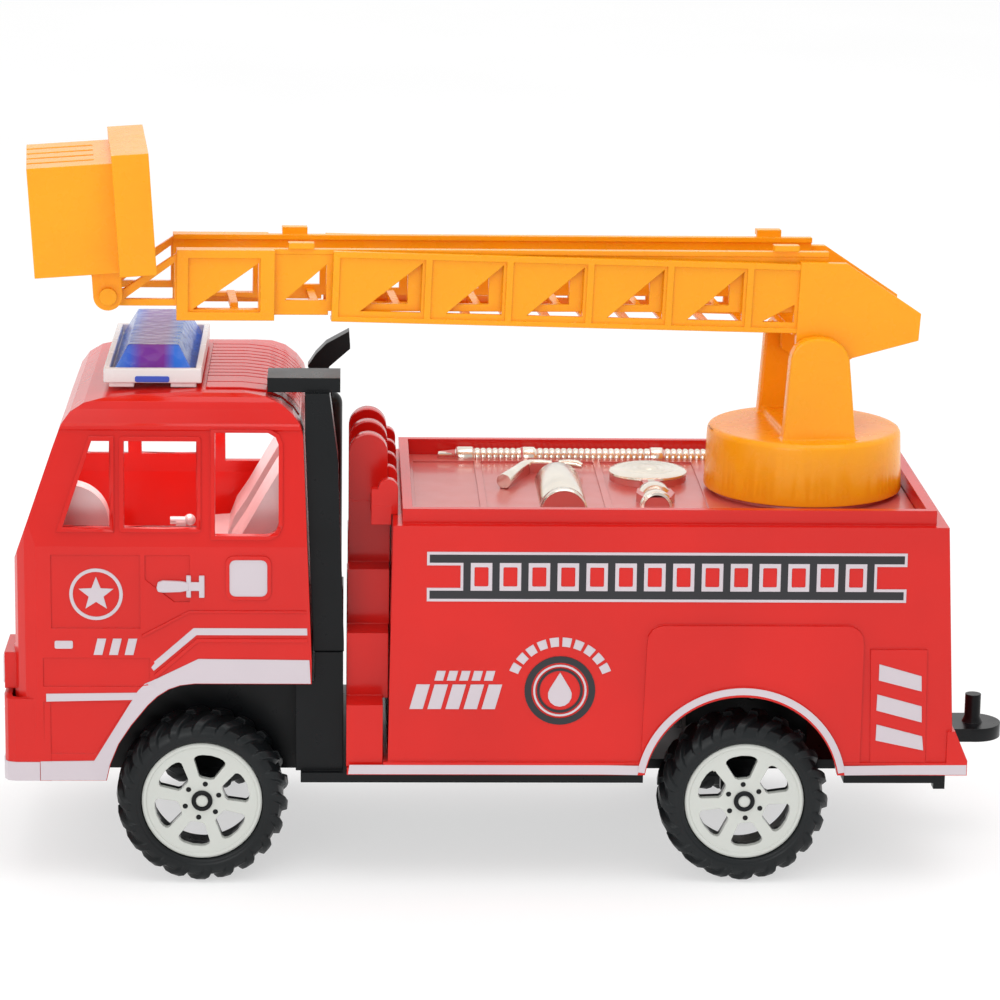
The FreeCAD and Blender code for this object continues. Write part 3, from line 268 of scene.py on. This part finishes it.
def lathe(name, profile, place, axis, material, body, steps=64, smooth=35.0, bevel=0.0):
    """Turn a closed or open profile of (radius, along) points about an axis."""
    verts, faces = [], []
    count = len(profile)
    for k in range(steps):
        a = 2 * math.pi * k / steps
        for radius, along in profile:
            u, v = radius * math.cos(a), radius * math.sin(a)
            point = {"x": (along, u, v), "y": (u, along, v), "z": (u, v, along)}[axis]
            verts.append(tuple(point[i] + place[i] for i in range(3)))
    for k in range(steps):
        n = (k + 1) % steps
        for i in range(count - 1):
            faces.append((k * count + i, k * count + i + 1, n * count + i + 1, n * count + i))
        if profile[0][0] > 0.001 and profile[-1][0] > 0.001:
            faces.append((k * count + count - 1, k * count, n * count, n * count + count - 1))
    return piece(name, verts, faces, material, body, smooth, bevel)


TREES = {}


def tree_of(names):
    key = tuple(names)
    if key not in TREES:
        verts, polys = [], []
        for name in names:
            mesh = NODES[name].data
            base = len(verts)
            verts += [v.co.copy() for v in mesh.vertices]
            polys += [[base + i for i in p.vertices] for p in mesh.polygons]
        TREES[key] = BVHTree.FromPolygons(verts, polys)
    return TREES[key]


VIEWS = {
    "near": (lambda a, b: Vector((a, -80, b)), Vector((0, 1, 0))),
    "far": (lambda a, b: Vector((a, 80, b)), Vector((0, -1, 0))),
    "top": (lambda a, b: Vector((a, b, 230)), Vector((0, 0, -1))),
    "front": (lambda a, b: Vector((-200, a, b)), Vector((1, 0, 0))),
    "back": (lambda a, b: Vector((200, a, b)), Vector((-1, 0, 0))),
}


def relief(name, loops, on, view, material, thick=0.25, body="truck", step=6.0,
           bevel=0.0,
           sink=0.06):
    """A thin raised shape laid on a CAD surface: outlines in millimetres, with holes after each first loop."""
    start, way = VIEWS[view]
    tree = tree_of(on)
    bm = bmesh.new()
    for group in loops:
        flat = [[Vector((a, b, 0)) for a, b in loop] for loop in group]
        points = [p for loop in flat for p in loop]
        made = [bm.verts.new(p) for p in points]
        for tri in tessellate_polygon(flat):
            try:
                bm.faces.new([made[i] for i in tri])
            except ValueError:
                pass
    for _ in range(6):
        long_edges = [e for e in bm.edges if e.calc_length() > step]
        if not long_edges:
            break
        bmesh.ops.subdivide_edges(bm, edges=long_edges, cuts=1)
        bmesh.ops.triangulate(bm, faces=[f for f in bm.faces if len(f.verts) > 3])
    depth = {}
    for v in bm.verts:
        hit = tree.ray_cast(start(v.co.x, v.co.y) * MM, way, 1.0)
        depth[v] = hit[3] / MM if hit[0] is not None else None
    known = [d for d in depth.values() if d is not None]
    usual = sorted(known)[len(known) // 2]
    for v in list(bm.verts):
        d = depth[v]
        if d is None or abs(d - usual) > 12.0:
            d = usual
        v.co = start(v.co.x, v.co.y) + way * (d + sink)
    base = list(bm.faces)
    grown = bmesh.ops.extrude_face_region(bm, geom=base)
    for v in grown["geom"]:
        if isinstance(v, bmesh.types.BMVert):
            v.co -= way * (thick + sink)
    for v in bm.verts:
        v.co *= MM
    mesh = bpy.data.meshes.new(name)
    bm.to_mesh(mesh)
    bm.free()
    return finish_piece(name, mesh, material, body, 30.0, bevel)


def rect(x0, x1, z0, z1, r=0.0, n=4):
    if not r:
        return [(x0, z0), (x1, z0), (x1, z1), (x0, z1)]
    out = []
    for cx, cz, a0 in ((x1 - r, z0 + r, -90), (x1 - r, z1 - r, 0), (x0 + r, z1 - r, 90),
                       (x0 + r, z0 + r, 180)):
        for k in range(n + 1):
            a = math.radians(a0 + 90.0 * k / n)
            out.append((cx + r * math.cos(a), cz + r * math.sin(a)))
    return out


def disc(cx, cz, r, n=40, turn=0.0):
    return [(cx + r * math.cos(2 * math.pi * k / n + turn), cz + r * math.sin(2 * math.pi * k / n + turn))
            for k in range(n)]


def arc_band(cx, cz, r0, r1, a0, a1, n):
    outer = [(cx + r1 * math.cos(math.radians(a0 + (a1 - a0) * k / n)),
              cz + r1 * math.sin(math.radians(a0 + (a1 - a0) * k / n))) for k in range(n + 1)]
    inner = [(cx + r0 * math.cos(math.radians(a0 + (a1 - a0) * k / n)),
              cz + r0 * math.sin(math.radians(a0 + (a1 - a0) * k / n))) for k in range(n + 1)]
    return outer + inner[::-1]


# ---------------------------------------------------------------- tyres and wheels
WHEEL_HIGH = 25.8      # axle height above the ground
TYRE_MIDDLE = 44.5     # middle of a tyre from the centre line
FACE_OUT = 52.4        # outer side of the silver wheel face
HUB_FACE = 52.2        # where the hub pieces stand on the wheel face
BOLT_RING = 5.3
CARCASS_STEPS = 96
LUGS = 20
SPOKES = 6
WHEELS = (("front", -95.0, 41.0), ("rear", 68.4, 25.0))


def tyre_mesh(way, axle_x, phase):
    """Ribbed rubber tyre: a turned carcass with curved lugs that run over both shoulders."""
    mid, cz = TYRE_MIDDLE, WHEEL_HIGH
    half = [(0.0, 24.3), (3.0, 24.3), (6.0, 24.0), (7.9, 23.2), (8.9, 21.8), (9.2, 20.6), (9.25, 19.9),
            (9.0, 19.6),
            (9.0, 18.9), (8.7, 18.5), (8.2, 18.3)]
    ring = half + [(-y, r) for y, r in half[::-1]]
    verts, faces = [], []
    steps = CARCASS_STEPS
    for k in range(steps):
        a = 2 * math.pi * k / steps
        for y, r in ring:
            verts.append((axle_x + r * math.cos(a), way * (mid + y), cz + r * math.sin(a)))
    n = len(ring)
    for k in range(steps):
        m = (k + 1) % steps
        for i in range(n):
            j = (i + 1) % n
            faces.append((k * n + i, k * n + j, m * n + j, m * n + i))
    path = [(9.05, 20.3, 0.0), (9.35, 21.6, 0.6), (9.3, 22.9, 1.6), (8.6, 24.2, 3.4), (7.2, 25.2, 6.2),
            (4.8, 25.75, 10.0), (1.9, 25.8, 13.0)]
    under = [(8.6, 20.2), (8.7, 21.4), (8.3, 22.4), (7.4, 23.2), (6.0, 23.9), (4.4, 24.0), (1.9, 24.0)]
    widths = [1.5, 2.2, 2.8, 3.2, 3.4, 3.4, 2.8]
    for side_way in (1, -1):
        for lug in range(LUGS):
            first = 360.0 / LUGS * (lug + (0.5 if side_way < 0 else 0.0)) + phase
            base = len(verts)
            for (y, r, turn), (uy, ur), w in zip(path, under, widths):
                a = math.radians(first + turn * side_way * way)
                top = w / 2.0 / r * 0.82
                low = w / 2.0 / ur * 1.35
                for rr, yy, off in ((ur, uy, -low), (r, y, -top), (r, y, top), (ur, uy, low)):
                    verts.append((axle_x + rr * math.cos(a + off), way * (mid + side_way * yy),
                                  cz + rr * math.sin(a + off)))
            for s in range(len(path) - 1):
                for i in range(3):
                    p, q = base + s * 4 + i, base + (s + 1) * 4 + i
                    faces.append((p, p + 1, q + 1, q))
                p, q = base + s * 4, base + (s + 1) * 4
                faces.append((p + 3, p, q, q + 3))
            faces.append((base, base + 1, base + 2, base + 3))
            e = base + (len(path) - 1) * 4
            faces.append((e + 3, e + 2, e + 1, e))
    return verts, faces


for place, axle_x, phase in WHEELS:
    for tag, way in (("near", -1), ("far", 1)):
        verts, faces = tyre_mesh(way, axle_x, phase)
        tyre = piece("%s_tyre_%s_rubber" % (place, tag), verts, faces, RUBBER, place + "_wheels",
                     28.0, 0.25)
        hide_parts("%s_tyre_%s" % (place, tag))
        body = place + "_wheels"
        for k in range(SPOKES):
            a = math.radians((phase if way > 0 else 180.0 - phase) + 360.0 / SPOKES * k)
            spot = (axle_x + BOLT_RING * math.cos(a), 0.0, WHEEL_HIGH + BOLT_RING * math.sin(a))
            lathe("%s_bolt_%s_%d" % (place, tag, k),
                  [(0.0, way * (FACE_OUT + 0.34)), (0.5, way * (FACE_OUT + 0.34)),
                   (0.78, way * (FACE_OUT + 0.1)),
                   (0.82, way * (FACE_OUT - 0.3)), (0.0, way * (FACE_OUT - 0.3))],
                  spot, "y", BLACK, body, 20)
        lathe("%s_hub_ring_%s" % (place, tag),
              [(1.9, way * 52.5), (2.0, way * 53.2), (2.8, way * 53.25), (3.15, way * 52.9),
               (3.2, way * HUB_FACE),
               (1.9, way * HUB_FACE)], (axle_x, 0.0, WHEEL_HIGH), "y", BLACK, body, 48)
        lathe("%s_hub_cap_%s" % (place, tag),
              [(0.0, way * 53.1), (1.2, way * 53.05), (1.8, way * 52.85), (1.95, way * 52.5),
               (1.95, way * HUB_FACE),
               (0.0, way * HUB_FACE)], (axle_x, 0.0, WHEEL_HIGH), "y", TRIM, body, 40)
        lathe("%s_trim_lip_%s" % (place, tag),
              [(16.5, way * 52.35), (16.8, way * 52.75), (17.5, way * 52.8), (18.0, way * 52.5),
               (18.1, way * 51.8),
               (16.5, way * 51.8)], (axle_x, 0.0, WHEEL_HIGH), "y", TRIM, body, 96)


# ---------------------------------------------------------------- soft moulded edges on the CAD shapes
for name, width in (("boom", 0.3), ("sliding_ladder", 0.3), ("basket", 1.1), ("turntable", 0.8),
                    ("air_intake", 0.9),
                    ("exhaust_stack", 0.5), ("light_bar_tray", 0.9), ("step_moulding", 0.5),
                    ("chassis", 0.3), ("seat_tray", 0.6), ("light_bar_lens", 0.4), ("cab_shell", 0.45),
                    ("rear_body", 0.5), ("deck_moulding", 0.35)):
    soften(name, width)


# ---------------------------------------------------------------- cab: prints, frames, handle, ribs
CAB = ["cab_shell"]
arch_low = [(-62.5, 62.15), (-97.0, 62.15), (-101.4, 61.6), (-104.8, 60.4), (-108.2, 58.2), (-111.1, 55.4),
            (-116.2, 49.0), (-120.0, 43.1), (-122.5, 36.9), (-123.7, 31.7)]
arch_print = [(-143.2, 31.7), (-143.2, 37.6), (-127.2, 37.8), (-113.9, 59.8), (-111.9, 61.8), (-95.9, 69.7),
              (-62.9, 69.4)] + arch_low
for view in ("near", "far"):
    relief("cab_arch_print_" + view, [[arch_print]], CAB, view, PRINT, 0.35, step=5.0)
    relief("cab_stripe_print_" + view,
           [[[(-110.4, 67.6), (-97.3, 79.2), (-63.6, 79.2), (-63.5, 77.1), (-96.4, 77.1), (-109.2, 66.0)]],
            [[(-141.2, 56.4), (-141.2, 58.8), (-112.8, 59.2), (-114.6, 57.0)]],
            [rect(-138.5, -133.1, 72.8, 75.2, 0.5)]], CAB, view, PRINT, 0.3, step=8.0)
    # edges of the swept door panel above the arch
    relief("cab_sweep_" + view,
           [[[(-109.2, 64.8), (-96.3, 76.0), (-63.4, 76.0), (-63.3, 74.8), (-95.9, 74.8), (-108.2, 63.9)]],
            [[(-112.8, 77.0), (-98.6, 84.6), (-63.8, 84.6), (-63.8, 83.8), (-98.3, 83.8), (-112.4, 76.2)]]],
           CAB, view, RED, 0.5, step=8.0, bevel=0.15)
    # door handle
    relief("door_handle_" + view,
           [[[(-108.2, 91.6), (-107.8, 90.6), (-106.4, 90.2), (-101.0, 90.4), (-98.6, 90.9), (-98.6, 93.1),
              (-101.0, 93.6), (-106.4, 93.8), (-107.8, 93.3)]]], CAB, view, PRINT, 1.3, step=8.0, bevel=0.4)
    relief("door_latch_" + view,
           [[[(-99.4, 88.7), (-98.0, 88.7), (-98.0, 90.8), (-95.6, 90.8), (-95.6, 88.7), (-94.0, 88.7),
              (-94.0, 95.4), (-95.6, 95.4), (-95.6, 93.4), (-98.0, 93.4), (-98.0, 95.4), (-99.4, 95.4)]]],
           CAB, view, PRINT, 0.9, step=8.0, bevel=0.2)
    # small square pane with its raised frame
    relief("door_pane_" + view, [[rect(-86.6, -75.4, 89.0, 100.2, 1.8)]], CAB, view, PRINT, 0.35, step=8.0)
    relief("door_pane_frame_" + view, [[rect(-87.8, -74.2, 87.8, 101.4, 2.4),
                                        rect(-86.6, -75.4, 89.0, 100.2, 1.8)[::-1]]],
           CAB, view, RED, 0.6, step=8.0, bevel=0.2)
    # plain star badge in a ring
    star = []
    for k in range(10):
        r = 5.4 if k % 2 == 0 else 2.3
        a = math.radians(90 + 36 * k)
        star.append((-126.1 + r * math.cos(a), 89.4 + r * math.sin(a)))
    relief("cab_badge_" + view,
           [[disc(-126.1, 89.4, 7.9), disc(-126.1, 89.4, 6.9)[::-1]], [star]], CAB, view, PRINT, 0.3,
           step=8.0)
    # plain slanted bars in place of the number
    bars = [[[(-127.0 + 4.6 * k, 70.9), (-124.4 + 4.6 * k, 70.9), (-123.2 + 4.6 * k, 75.9),
              (-125.8 + 4.6 * k, 75.9)]]
            for k in range(3)]
    relief("cab_bars_" + view, bars, CAB, view, PRINT, 0.3, step=8.0)
    # window frames
    w1 = [(-127.2, 135.3), (-122.0, 135.3), (-122.0, 109.8), (-135.8, 109.8)]
    big1 = [(-128.0, 136.7), (-120.6, 136.7), (-120.6, 108.4), (-137.8, 108.4)]
    w2, big2 = rect(-117.7, -96.4, 109.8, 135.3), rect(-119.1, -95.0, 108.4, 136.7, 1.0)
    w3 = [(-90.9, 137.9), (-90.9, 107.5), (-75.2, 107.5), (-73.0, 108.6), (-72.1, 110.8), (-72.1, 134.4),
          (-73.0, 136.6), (-75.2, 137.9)]
    big3 = [(-92.2, 139.0), (-92.2, 106.2), (-74.8, 106.2), (-72.0, 107.6), (-70.8, 110.4), (-70.8, 134.8),
            (-72.0, 137.6), (-74.8, 139.0)]
    relief("window_frames_" + view, [[big1[::-1], w1], [big2, w2[::-1]], [big3, w3[::-1]]], CAB, view, RED,
           0.7,
           step=6.0, bevel=0.25, sink=0.5)

ROOF_LINES = [-36.5, -28.2, -19.2, -14.3, -9.6, -4.8, 0.2, 5.2, 10.1, 14.6, 19.4, 24.6, 29.8, 36.5]
for index, (low, high) in enumerate(zip(ROOF_LINES[:-1], ROOF_LINES[1:])):
    relief("roof_rib_%02d" % index, [[rect(-94.0, -66.2, low + 0.35, high - 0.35)]], CAB, "top", RED, 0.5,
           step=3.5, bevel=0.15)

# white band round the foot of the bumper
BUMPER = [(-143.4, -50.9), (-150.6, -50.9), (-152.8, -50.1), (-153.8, -48.4), (-154.2, -45.0),
          (-154.2, 45.0),
          (-153.8, 48.4), (-152.8, 50.1), (-150.6, 50.9), (-143.4, 50.9)]
verts, faces = [], []
for x, y in BUMPER:
    out = Vector((x + 150.0 if abs(y) < 47 else 0.0, y if abs(y) > 47 else 0.0)).normalized()
    if 47 < abs(y) and x < -151.5:
        out = Vector((-0.7, math.copysign(0.7, y)))
    for z in (31.6, 37.4):
        verts.append((x - 0.3 * out.x, y - 0.3 * out.y, z))
        verts.append((x + 0.3 * out.x, y + 0.3 * out.y, z))
for i in range(len(BUMPER) - 1):
    a, b = i * 4, (i + 1) * 4
    faces += [(a + 1, b + 1, b + 3, a + 3), (a, a + 2, b + 2, b), (a + 2, a + 3, b + 3, b + 2),
              (a, b, b + 1, a + 1)]
faces += [(0, 1, 3, 2), (4 * (len(BUMPER) - 1), 4 * (len(BUMPER) - 1) + 2, 4 * (len(BUMPER) - 1) + 3,
                         4 * (len(BUMPER) - 1) + 1)]
piece("bumper_band", verts, faces, PRINT, "truck", 30.0)


# ---------------------------------------------------------------- rear body prints
BODY = ["rear_body"]
BADGE = (12.0, 60.6)
RAIL_FROM, RAIL_TO, RUNG_PITCH = -27.3, 114.3, 8.6
for view in ("near", "far"):
    rails = [[rect(RAIL_FROM, RAIL_TO, 99.8, 102.3)], [rect(RAIL_FROM, RAIL_TO, 88.8, 91.3)]]
    rungs = [[rect(-17.3 + RUNG_PITCH * k, -15.1 + RUNG_PITCH * k, 91.3, 99.8)] for k in range(15)]
    relief("ladder_print_black_" + view, rails + rungs, BODY, view, INK, 0.25, step=40.0)
    white = [[rect(-28.1, 115.1, 102.3, 103.1)], [rect(-28.1, 115.1, 88.0, 88.8)],
             [rect(-28.1, -27.3, 99.0, 102.3)], [rect(-28.1, -27.3, 88.8, 92.1)],
             [rect(114.3, 115.1, 99.0, 102.3)], [rect(114.3, 115.1, 88.8, 92.1)],
             [rect(-27.3, -17.3, 99.0, 99.8)], [rect(-27.3, -17.3, 91.3, 92.1)],
             [rect(-18.1, -17.3, 92.1, 99.0)],
             [rect(105.3, 114.3, 99.0, 99.8)], [rect(105.3, 114.3, 91.3, 92.1)],
             [rect(105.3, 106.1, 92.1, 99.0)]]
    for k in range(14):
        middle = -11.9 + RUNG_PITCH * k
        white.append([rect(middle - 3.2, middle + 3.2, 91.3, 99.8),
                      rect(middle - 2.1, middle + 2.1, 92.6, 98.5, 0.4)[::-1]])
    relief("ladder_print_white_" + view, white, BODY, view, PRINT, 0.27, step=40.0)
    # plain round badge: dark ring, pale ring and a drop, with a dashed arc above it
    cx, cz = BADGE
    drop = [(cx, cz + 5.6)] + [(cx + 3.6 * math.cos(math.radians(a)),
                                cz - 1.4 + 3.6 * math.sin(math.radians(a)))
                               for a in range(35, -216, -25)]
    relief("body_badge_dark_" + view,
           [[disc(cx, cz, 10.6), disc(cx, cz, 8.6)[::-1]], [disc(cx, cz, 6.9), disc(cx, cz, 6.1)[::-1]]],
           BODY, view, INK, 0.25, step=30.0)
    relief("body_badge_pale_" + view, [[disc(cx, cz, 8.0), disc(cx, cz, 7.4)[::-1]], [drop]], BODY, view,
           PRINT,
           0.25, step=30.0)
    relief("body_arc_" + view, [[arc_band(cx, cz, 13.6, 16.4, 22 + 14 * k, 32 + 14 * k,
                                          4)] for k in range(10)],
           BODY, view, PRINT, 0.25, step=30.0)
    blocks = [[[(-25.6 + 3.7 * k, 63.6), (-23.0 + 3.7 * k, 63.6), (-22.2 + 3.7 * k, 66.6),
                (-24.8 + 3.7 * k, 66.6)]]
              for k in range(5)]
    blocks += [[[(-33.0 + 5.4 * k, 54.8), (-29.0 + 5.4 * k, 54.8), (-26.9 + 5.4 * k, 62.4),
                 (-30.9 + 5.4 * k, 62.4)]]
               for k in range(5)]
    relief("body_blocks_" + view, blocks, BODY, view, PRINT, 0.25, step=30.0)
    relief("rear_stripes_" + view,
           [[[(107.7, 69.2), (120.5, 65.5), (120.7, 60.8), (107.7, 64.2)]],
            [[(107.4, 59.8), (120.9, 56.1), (121.1, 51.1), (107.3, 54.8)]],
            [[(107.5, 50.4), (121.4, 46.7), (121.9, 42.3), (107.4, 45.4)]]], BODY, view, PRINT, 0.3,
            step=30.0)
    relief("skirt_print_" + view,
           [[[(-51.2, 34.7), (35.7, 34.7), (36.6, 37.6), (-50.8, 37.6)]],
            [[(97.6, 37.6), (98.3, 34.7), (135.2, 34.7), (135.2, 37.8)]]], BODY, view, PRINT, 0.04,
            step=20.0)
    relief("arch_print_" + view, [[arc_band(67.0, 30.2, 29.7, 31.8, 10.0, 170.0, 40)]], BODY, view, PRINT,
           0.35,
           step=20.0)


# ---------------------------------------------------------------- light bar
relief("light_bar_mark", [[rect(-114.9, -104.7, 150.6, 152.4, 0.6)]], ["light_bar_tray"], "near", MARK, 0.2,
       step=20.0)


# ---------------------------------------------------------------- plated tools on the deck
DECK = 110.4           # top of the deck
EXTINGUISHER_X = 14.0
LAMP_X = 42.4
HOSE_Y = 41.6


def tube(name, points, radius, material, body, steps=16, smooth=40.0):
    """A round rod along a list of points, with closed ends."""
    pts = [Vector(p) for p in points]
    verts, faces = [], []
    for i, p in enumerate(pts):
        a = pts[max(0, i - 1)]
        b = pts[min(len(pts) - 1, i + 1)]
        along = (b - a).normalized()
        up = Vector((0, 0, 1)) if abs(along.z) < 0.9 else Vector((1, 0, 0))
        u = along.cross(up).normalized()
        v = u.cross(along)
        r = radius[i] if isinstance(radius, (list, tuple)) else radius
        for k in range(steps):
            t = 2 * math.pi * k / steps
            verts.append(tuple(p + u * r * math.cos(t) + v * r * math.sin(t)))
    for i in range(len(pts) - 1):
        for k in range(steps):
            n = (k + 1) % steps
            faces.append((i * steps + k, i * steps + n, (i + 1) * steps + n, (i + 1) * steps + k))
    faces.append(tuple(range(steps)))
    faces.append(tuple(range((len(pts) - 1) * steps, len(pts) * steps)))
    return piece(name, verts, faces, material, body, smooth)


for tag, y in (("near", -HOSE_Y), ("far", HOSE_Y)):
    profile = [(0.0, -22.9), (1.5, -22.9), (1.8, -22.6), (2.3, -17.4), (3.0, -17.0), (3.35, -16.4),
               (3.35, -12.0),
               (3.0, -11.4)]
    x = -11.2
    while x < 111.0:
        if 3.2 < x < 7.6 or 44.6 < x < 49.0:
            profile += [(2.9, x), (3.35, x + 0.5), (3.35, x + 3.9), (2.9, x + 4.4)]
            x += 4.9
        else:
            profile += [(2.62, x), (2.95, x + 0.5), (2.98, x + 0.95), (2.95, x + 1.4)]
            x += 1.9
    profile += [(2.6, x), (0.0, x)]
    lathe("deck_hose_" + tag, profile, (0.0, y, DECK + 0.3), "x", SILVER, "truck", 28, 60.0)

lathe("deck_extinguisher", [(6.2, -22.6), (7.0, -23.2), (7.4, -22.8), (7.42, -20.0), (7.3, -19.6),
                            (7.42, -19.2),
                            (7.42, 14.0), (7.0, 15.8), (5.6, 17.8), (4.2, 19.2), (2.6, 19.8), (2.4, 22.0),
                            (2.4, 24.6), (0.0, 24.8)], (EXTINGUISHER_X, 0.0, DECK - 2.4), "y", SILVER,
                            "truck",
      56, 40.0)
tube("deck_extinguisher_hose", [(12.6, 23.6, 112.4), (9.0, 23.9, 112.6), (5.6, 23.4, 112.6),
                                (3.6, 21.4, 112.6),
                                (1.8, 16.0, 112.6), (-0.4, 9.0, 112.6), (-2.4, 3.4, 112.5),
                                (-3.4, 0.6, 112.3)],
     [1.3, 1.35, 1.4, 1.5, 1.6, 1.9, 2.2, 2.3], SILVER, "truck", 18)
tube("deck_extinguisher_lever", [(15.0, 23.8, 112.6), (18.0, 23.4, 112.9), (20.6, 22.6, 112.8),
                                 (22.2, 21.8, 112.3)],
     [1.2, 1.25, 1.3, 0.9], SILVER, "truck", 16)
lathe("deck_lamp_disc", [(0.0, 3.9), (1.4, 3.8), (2.4, 3.4), (3.0, 2.9), (3.6, 3.3), (4.6, 3.45),
                         (5.4, 3.0), (6.2, 3.3),
                         (7.2, 3.4), (8.0, 2.95), (8.8, 3.2), (9.9, 3.25), (10.8, 2.9), (11.6, 2.8),
                         (12.2, 2.3),
                         (12.3, 1.7), (11.9, 1.2), (11.4, 1.1), (0.0, 1.1)], (LAMP_X, 14.8, DECK), "z",
                         SILVER,
      "truck", 72, 40.0)
lathe("deck_lamp_handle", [(0.0, 5.8), (3.0, 5.6), (3.3, 2.0), (3.1, -3.0), (3.4, -6.0), (4.6, -7.0),
                           (5.4, -8.6),
                           (5.5, -12.0), (5.0, -14.2), (4.4, -14.8), (4.3, -16.2), (4.9, -17.4),
                           (5.1, -20.6),
                           (4.7, -21.6), (3.9, -21.8)], (LAMP_X, 0.0, DECK - 0.9), "y", SILVER, "truck",
      48, 40.0)


# ---------------------------------------------------------------- camera, floor and light
CAMERA_PLACE = (-0.053, -1.1338, 0.3785)
CAMERA_YAW, CAMERA_PITCH, CAMERA_ROLL = 2.45, 13.48, 0.82
LENS_LONG, SENSOR_WIDE = 135.6, 36.0


def set_camera():
    data = bpy.data.cameras.new("camera")
    data.lens = LENS_LONG
    data.sensor_width = SENSOR_WIDE
    data.clip_start = 0.05
    data.clip_end = 20.0
    cam = bpy.data.objects.new("camera", data)
    bpy.context.scene.collection.objects.link(cam)
    yaw, pitch, roll = (math.radians(a) for a in (CAMERA_YAW, CAMERA_PITCH, CAMERA_ROLL))
    forward = Vector((math.sin(yaw) * math.cos(pitch), math.cos(yaw) * math.cos(pitch), -math.sin(pitch)))
    right = Vector((math.cos(yaw), -math.sin(yaw), 0.0))
    up = right.cross(forward)
    across = math.cos(roll) * right + math.sin(roll) * up
    above = -math.sin(roll) * right + math.cos(roll) * up
    matrix = Matrix((across, above, -forward)).transposed().to_4x4()
    matrix.translation = Vector(CAMERA_PLACE)
    cam.matrix_world = matrix
    bpy.context.scene.camera = cam


def area(name, place, target, size, power, color=(1, 1, 1)):
    data = bpy.data.lights.new(name, "AREA")
    data.shape = "RECTANGLE"
    data.size, data.size_y = size
    data.energy = power
    data.color = color
    light = bpy.data.objects.new(name, data)
    light.location = place
    direction = Vector(target) - Vector(place)
    light.rotation_euler = direction.to_track_quat("-Z", "Y").to_euler()
    bpy.context.scene.collection.objects.link(light)
    light.visible_camera = False


def make_floor():
    mesh = bpy.data.meshes.new("floor")
    mesh.from_pydata([(-9, -9, 0), (9, -9, 0), (9, 9, 0), (-9, 9, 0)], [], [(0, 1, 2, 3)])
    floor = bpy.data.objects.new("floor", mesh)
    bpy.context.scene.collection.objects.link(floor)
    g = Graph("floor_paper")
    g.link(g.ramp(g.noise(3.0), (0.46, 0.46, 0.46), (0.48, 0.48, 0.48)), g.shader.inputs["Base Color"])
    g.put(Roughness=0.9, Specular_IOR_Level=0.1, Emission_Color=(1.0, 1.0, 1.0, 1.0), Emission_Strength=0.56)
    floor.data.materials.append(g.material)


def set_world():
    """A pale room that is brighter behind and above the object than in front of it."""
    world = bpy.data.worlds.new("studio")
    world.use_nodes = True
    tree = world.node_tree
    back = tree.nodes["Background"]
    coord = tree.nodes.new("ShaderNodeTexCoord")
    split = tree.nodes.new("ShaderNodeSeparateXYZ")
    tree.links.new(coord.outputs["Generated"], split.inputs["Vector"])
    ramp = tree.nodes.new("ShaderNodeMapRange")
    ramp.inputs["From Min"].default_value = -0.6
    ramp.inputs["From Max"].default_value = 0.3
    ramp.inputs["To Min"].default_value = 0.62
    ramp.inputs["To Max"].default_value = 1.04
    tree.links.new(split.outputs["Y"], ramp.inputs["Value"])
    tree.links.new(ramp.outputs["Result"], back.inputs["Strength"])
    back.inputs["Color"].default_value = (1.0, 1.0, 1.0, 1.0)
    bpy.context.scene.world = world


bpy.context.scene.view_settings.view_transform = "Standard"
set_camera()
make_floor()
set_world()
area("top", (0.1, -0.3, 1.3), (0, 0, 0.1), (1.2, 1.0), 6.0)
area("front", (-0.6, -1.5, 0.7), (0, 0, 0.1), (0.8, 0.6), 5.5)
area("cab_glow", (-0.105, 0.0, 0.1435), (-0.105, 0.0, 0.08), (0.05, 0.07), 0.05, (1.0, 0.85, 0.82))
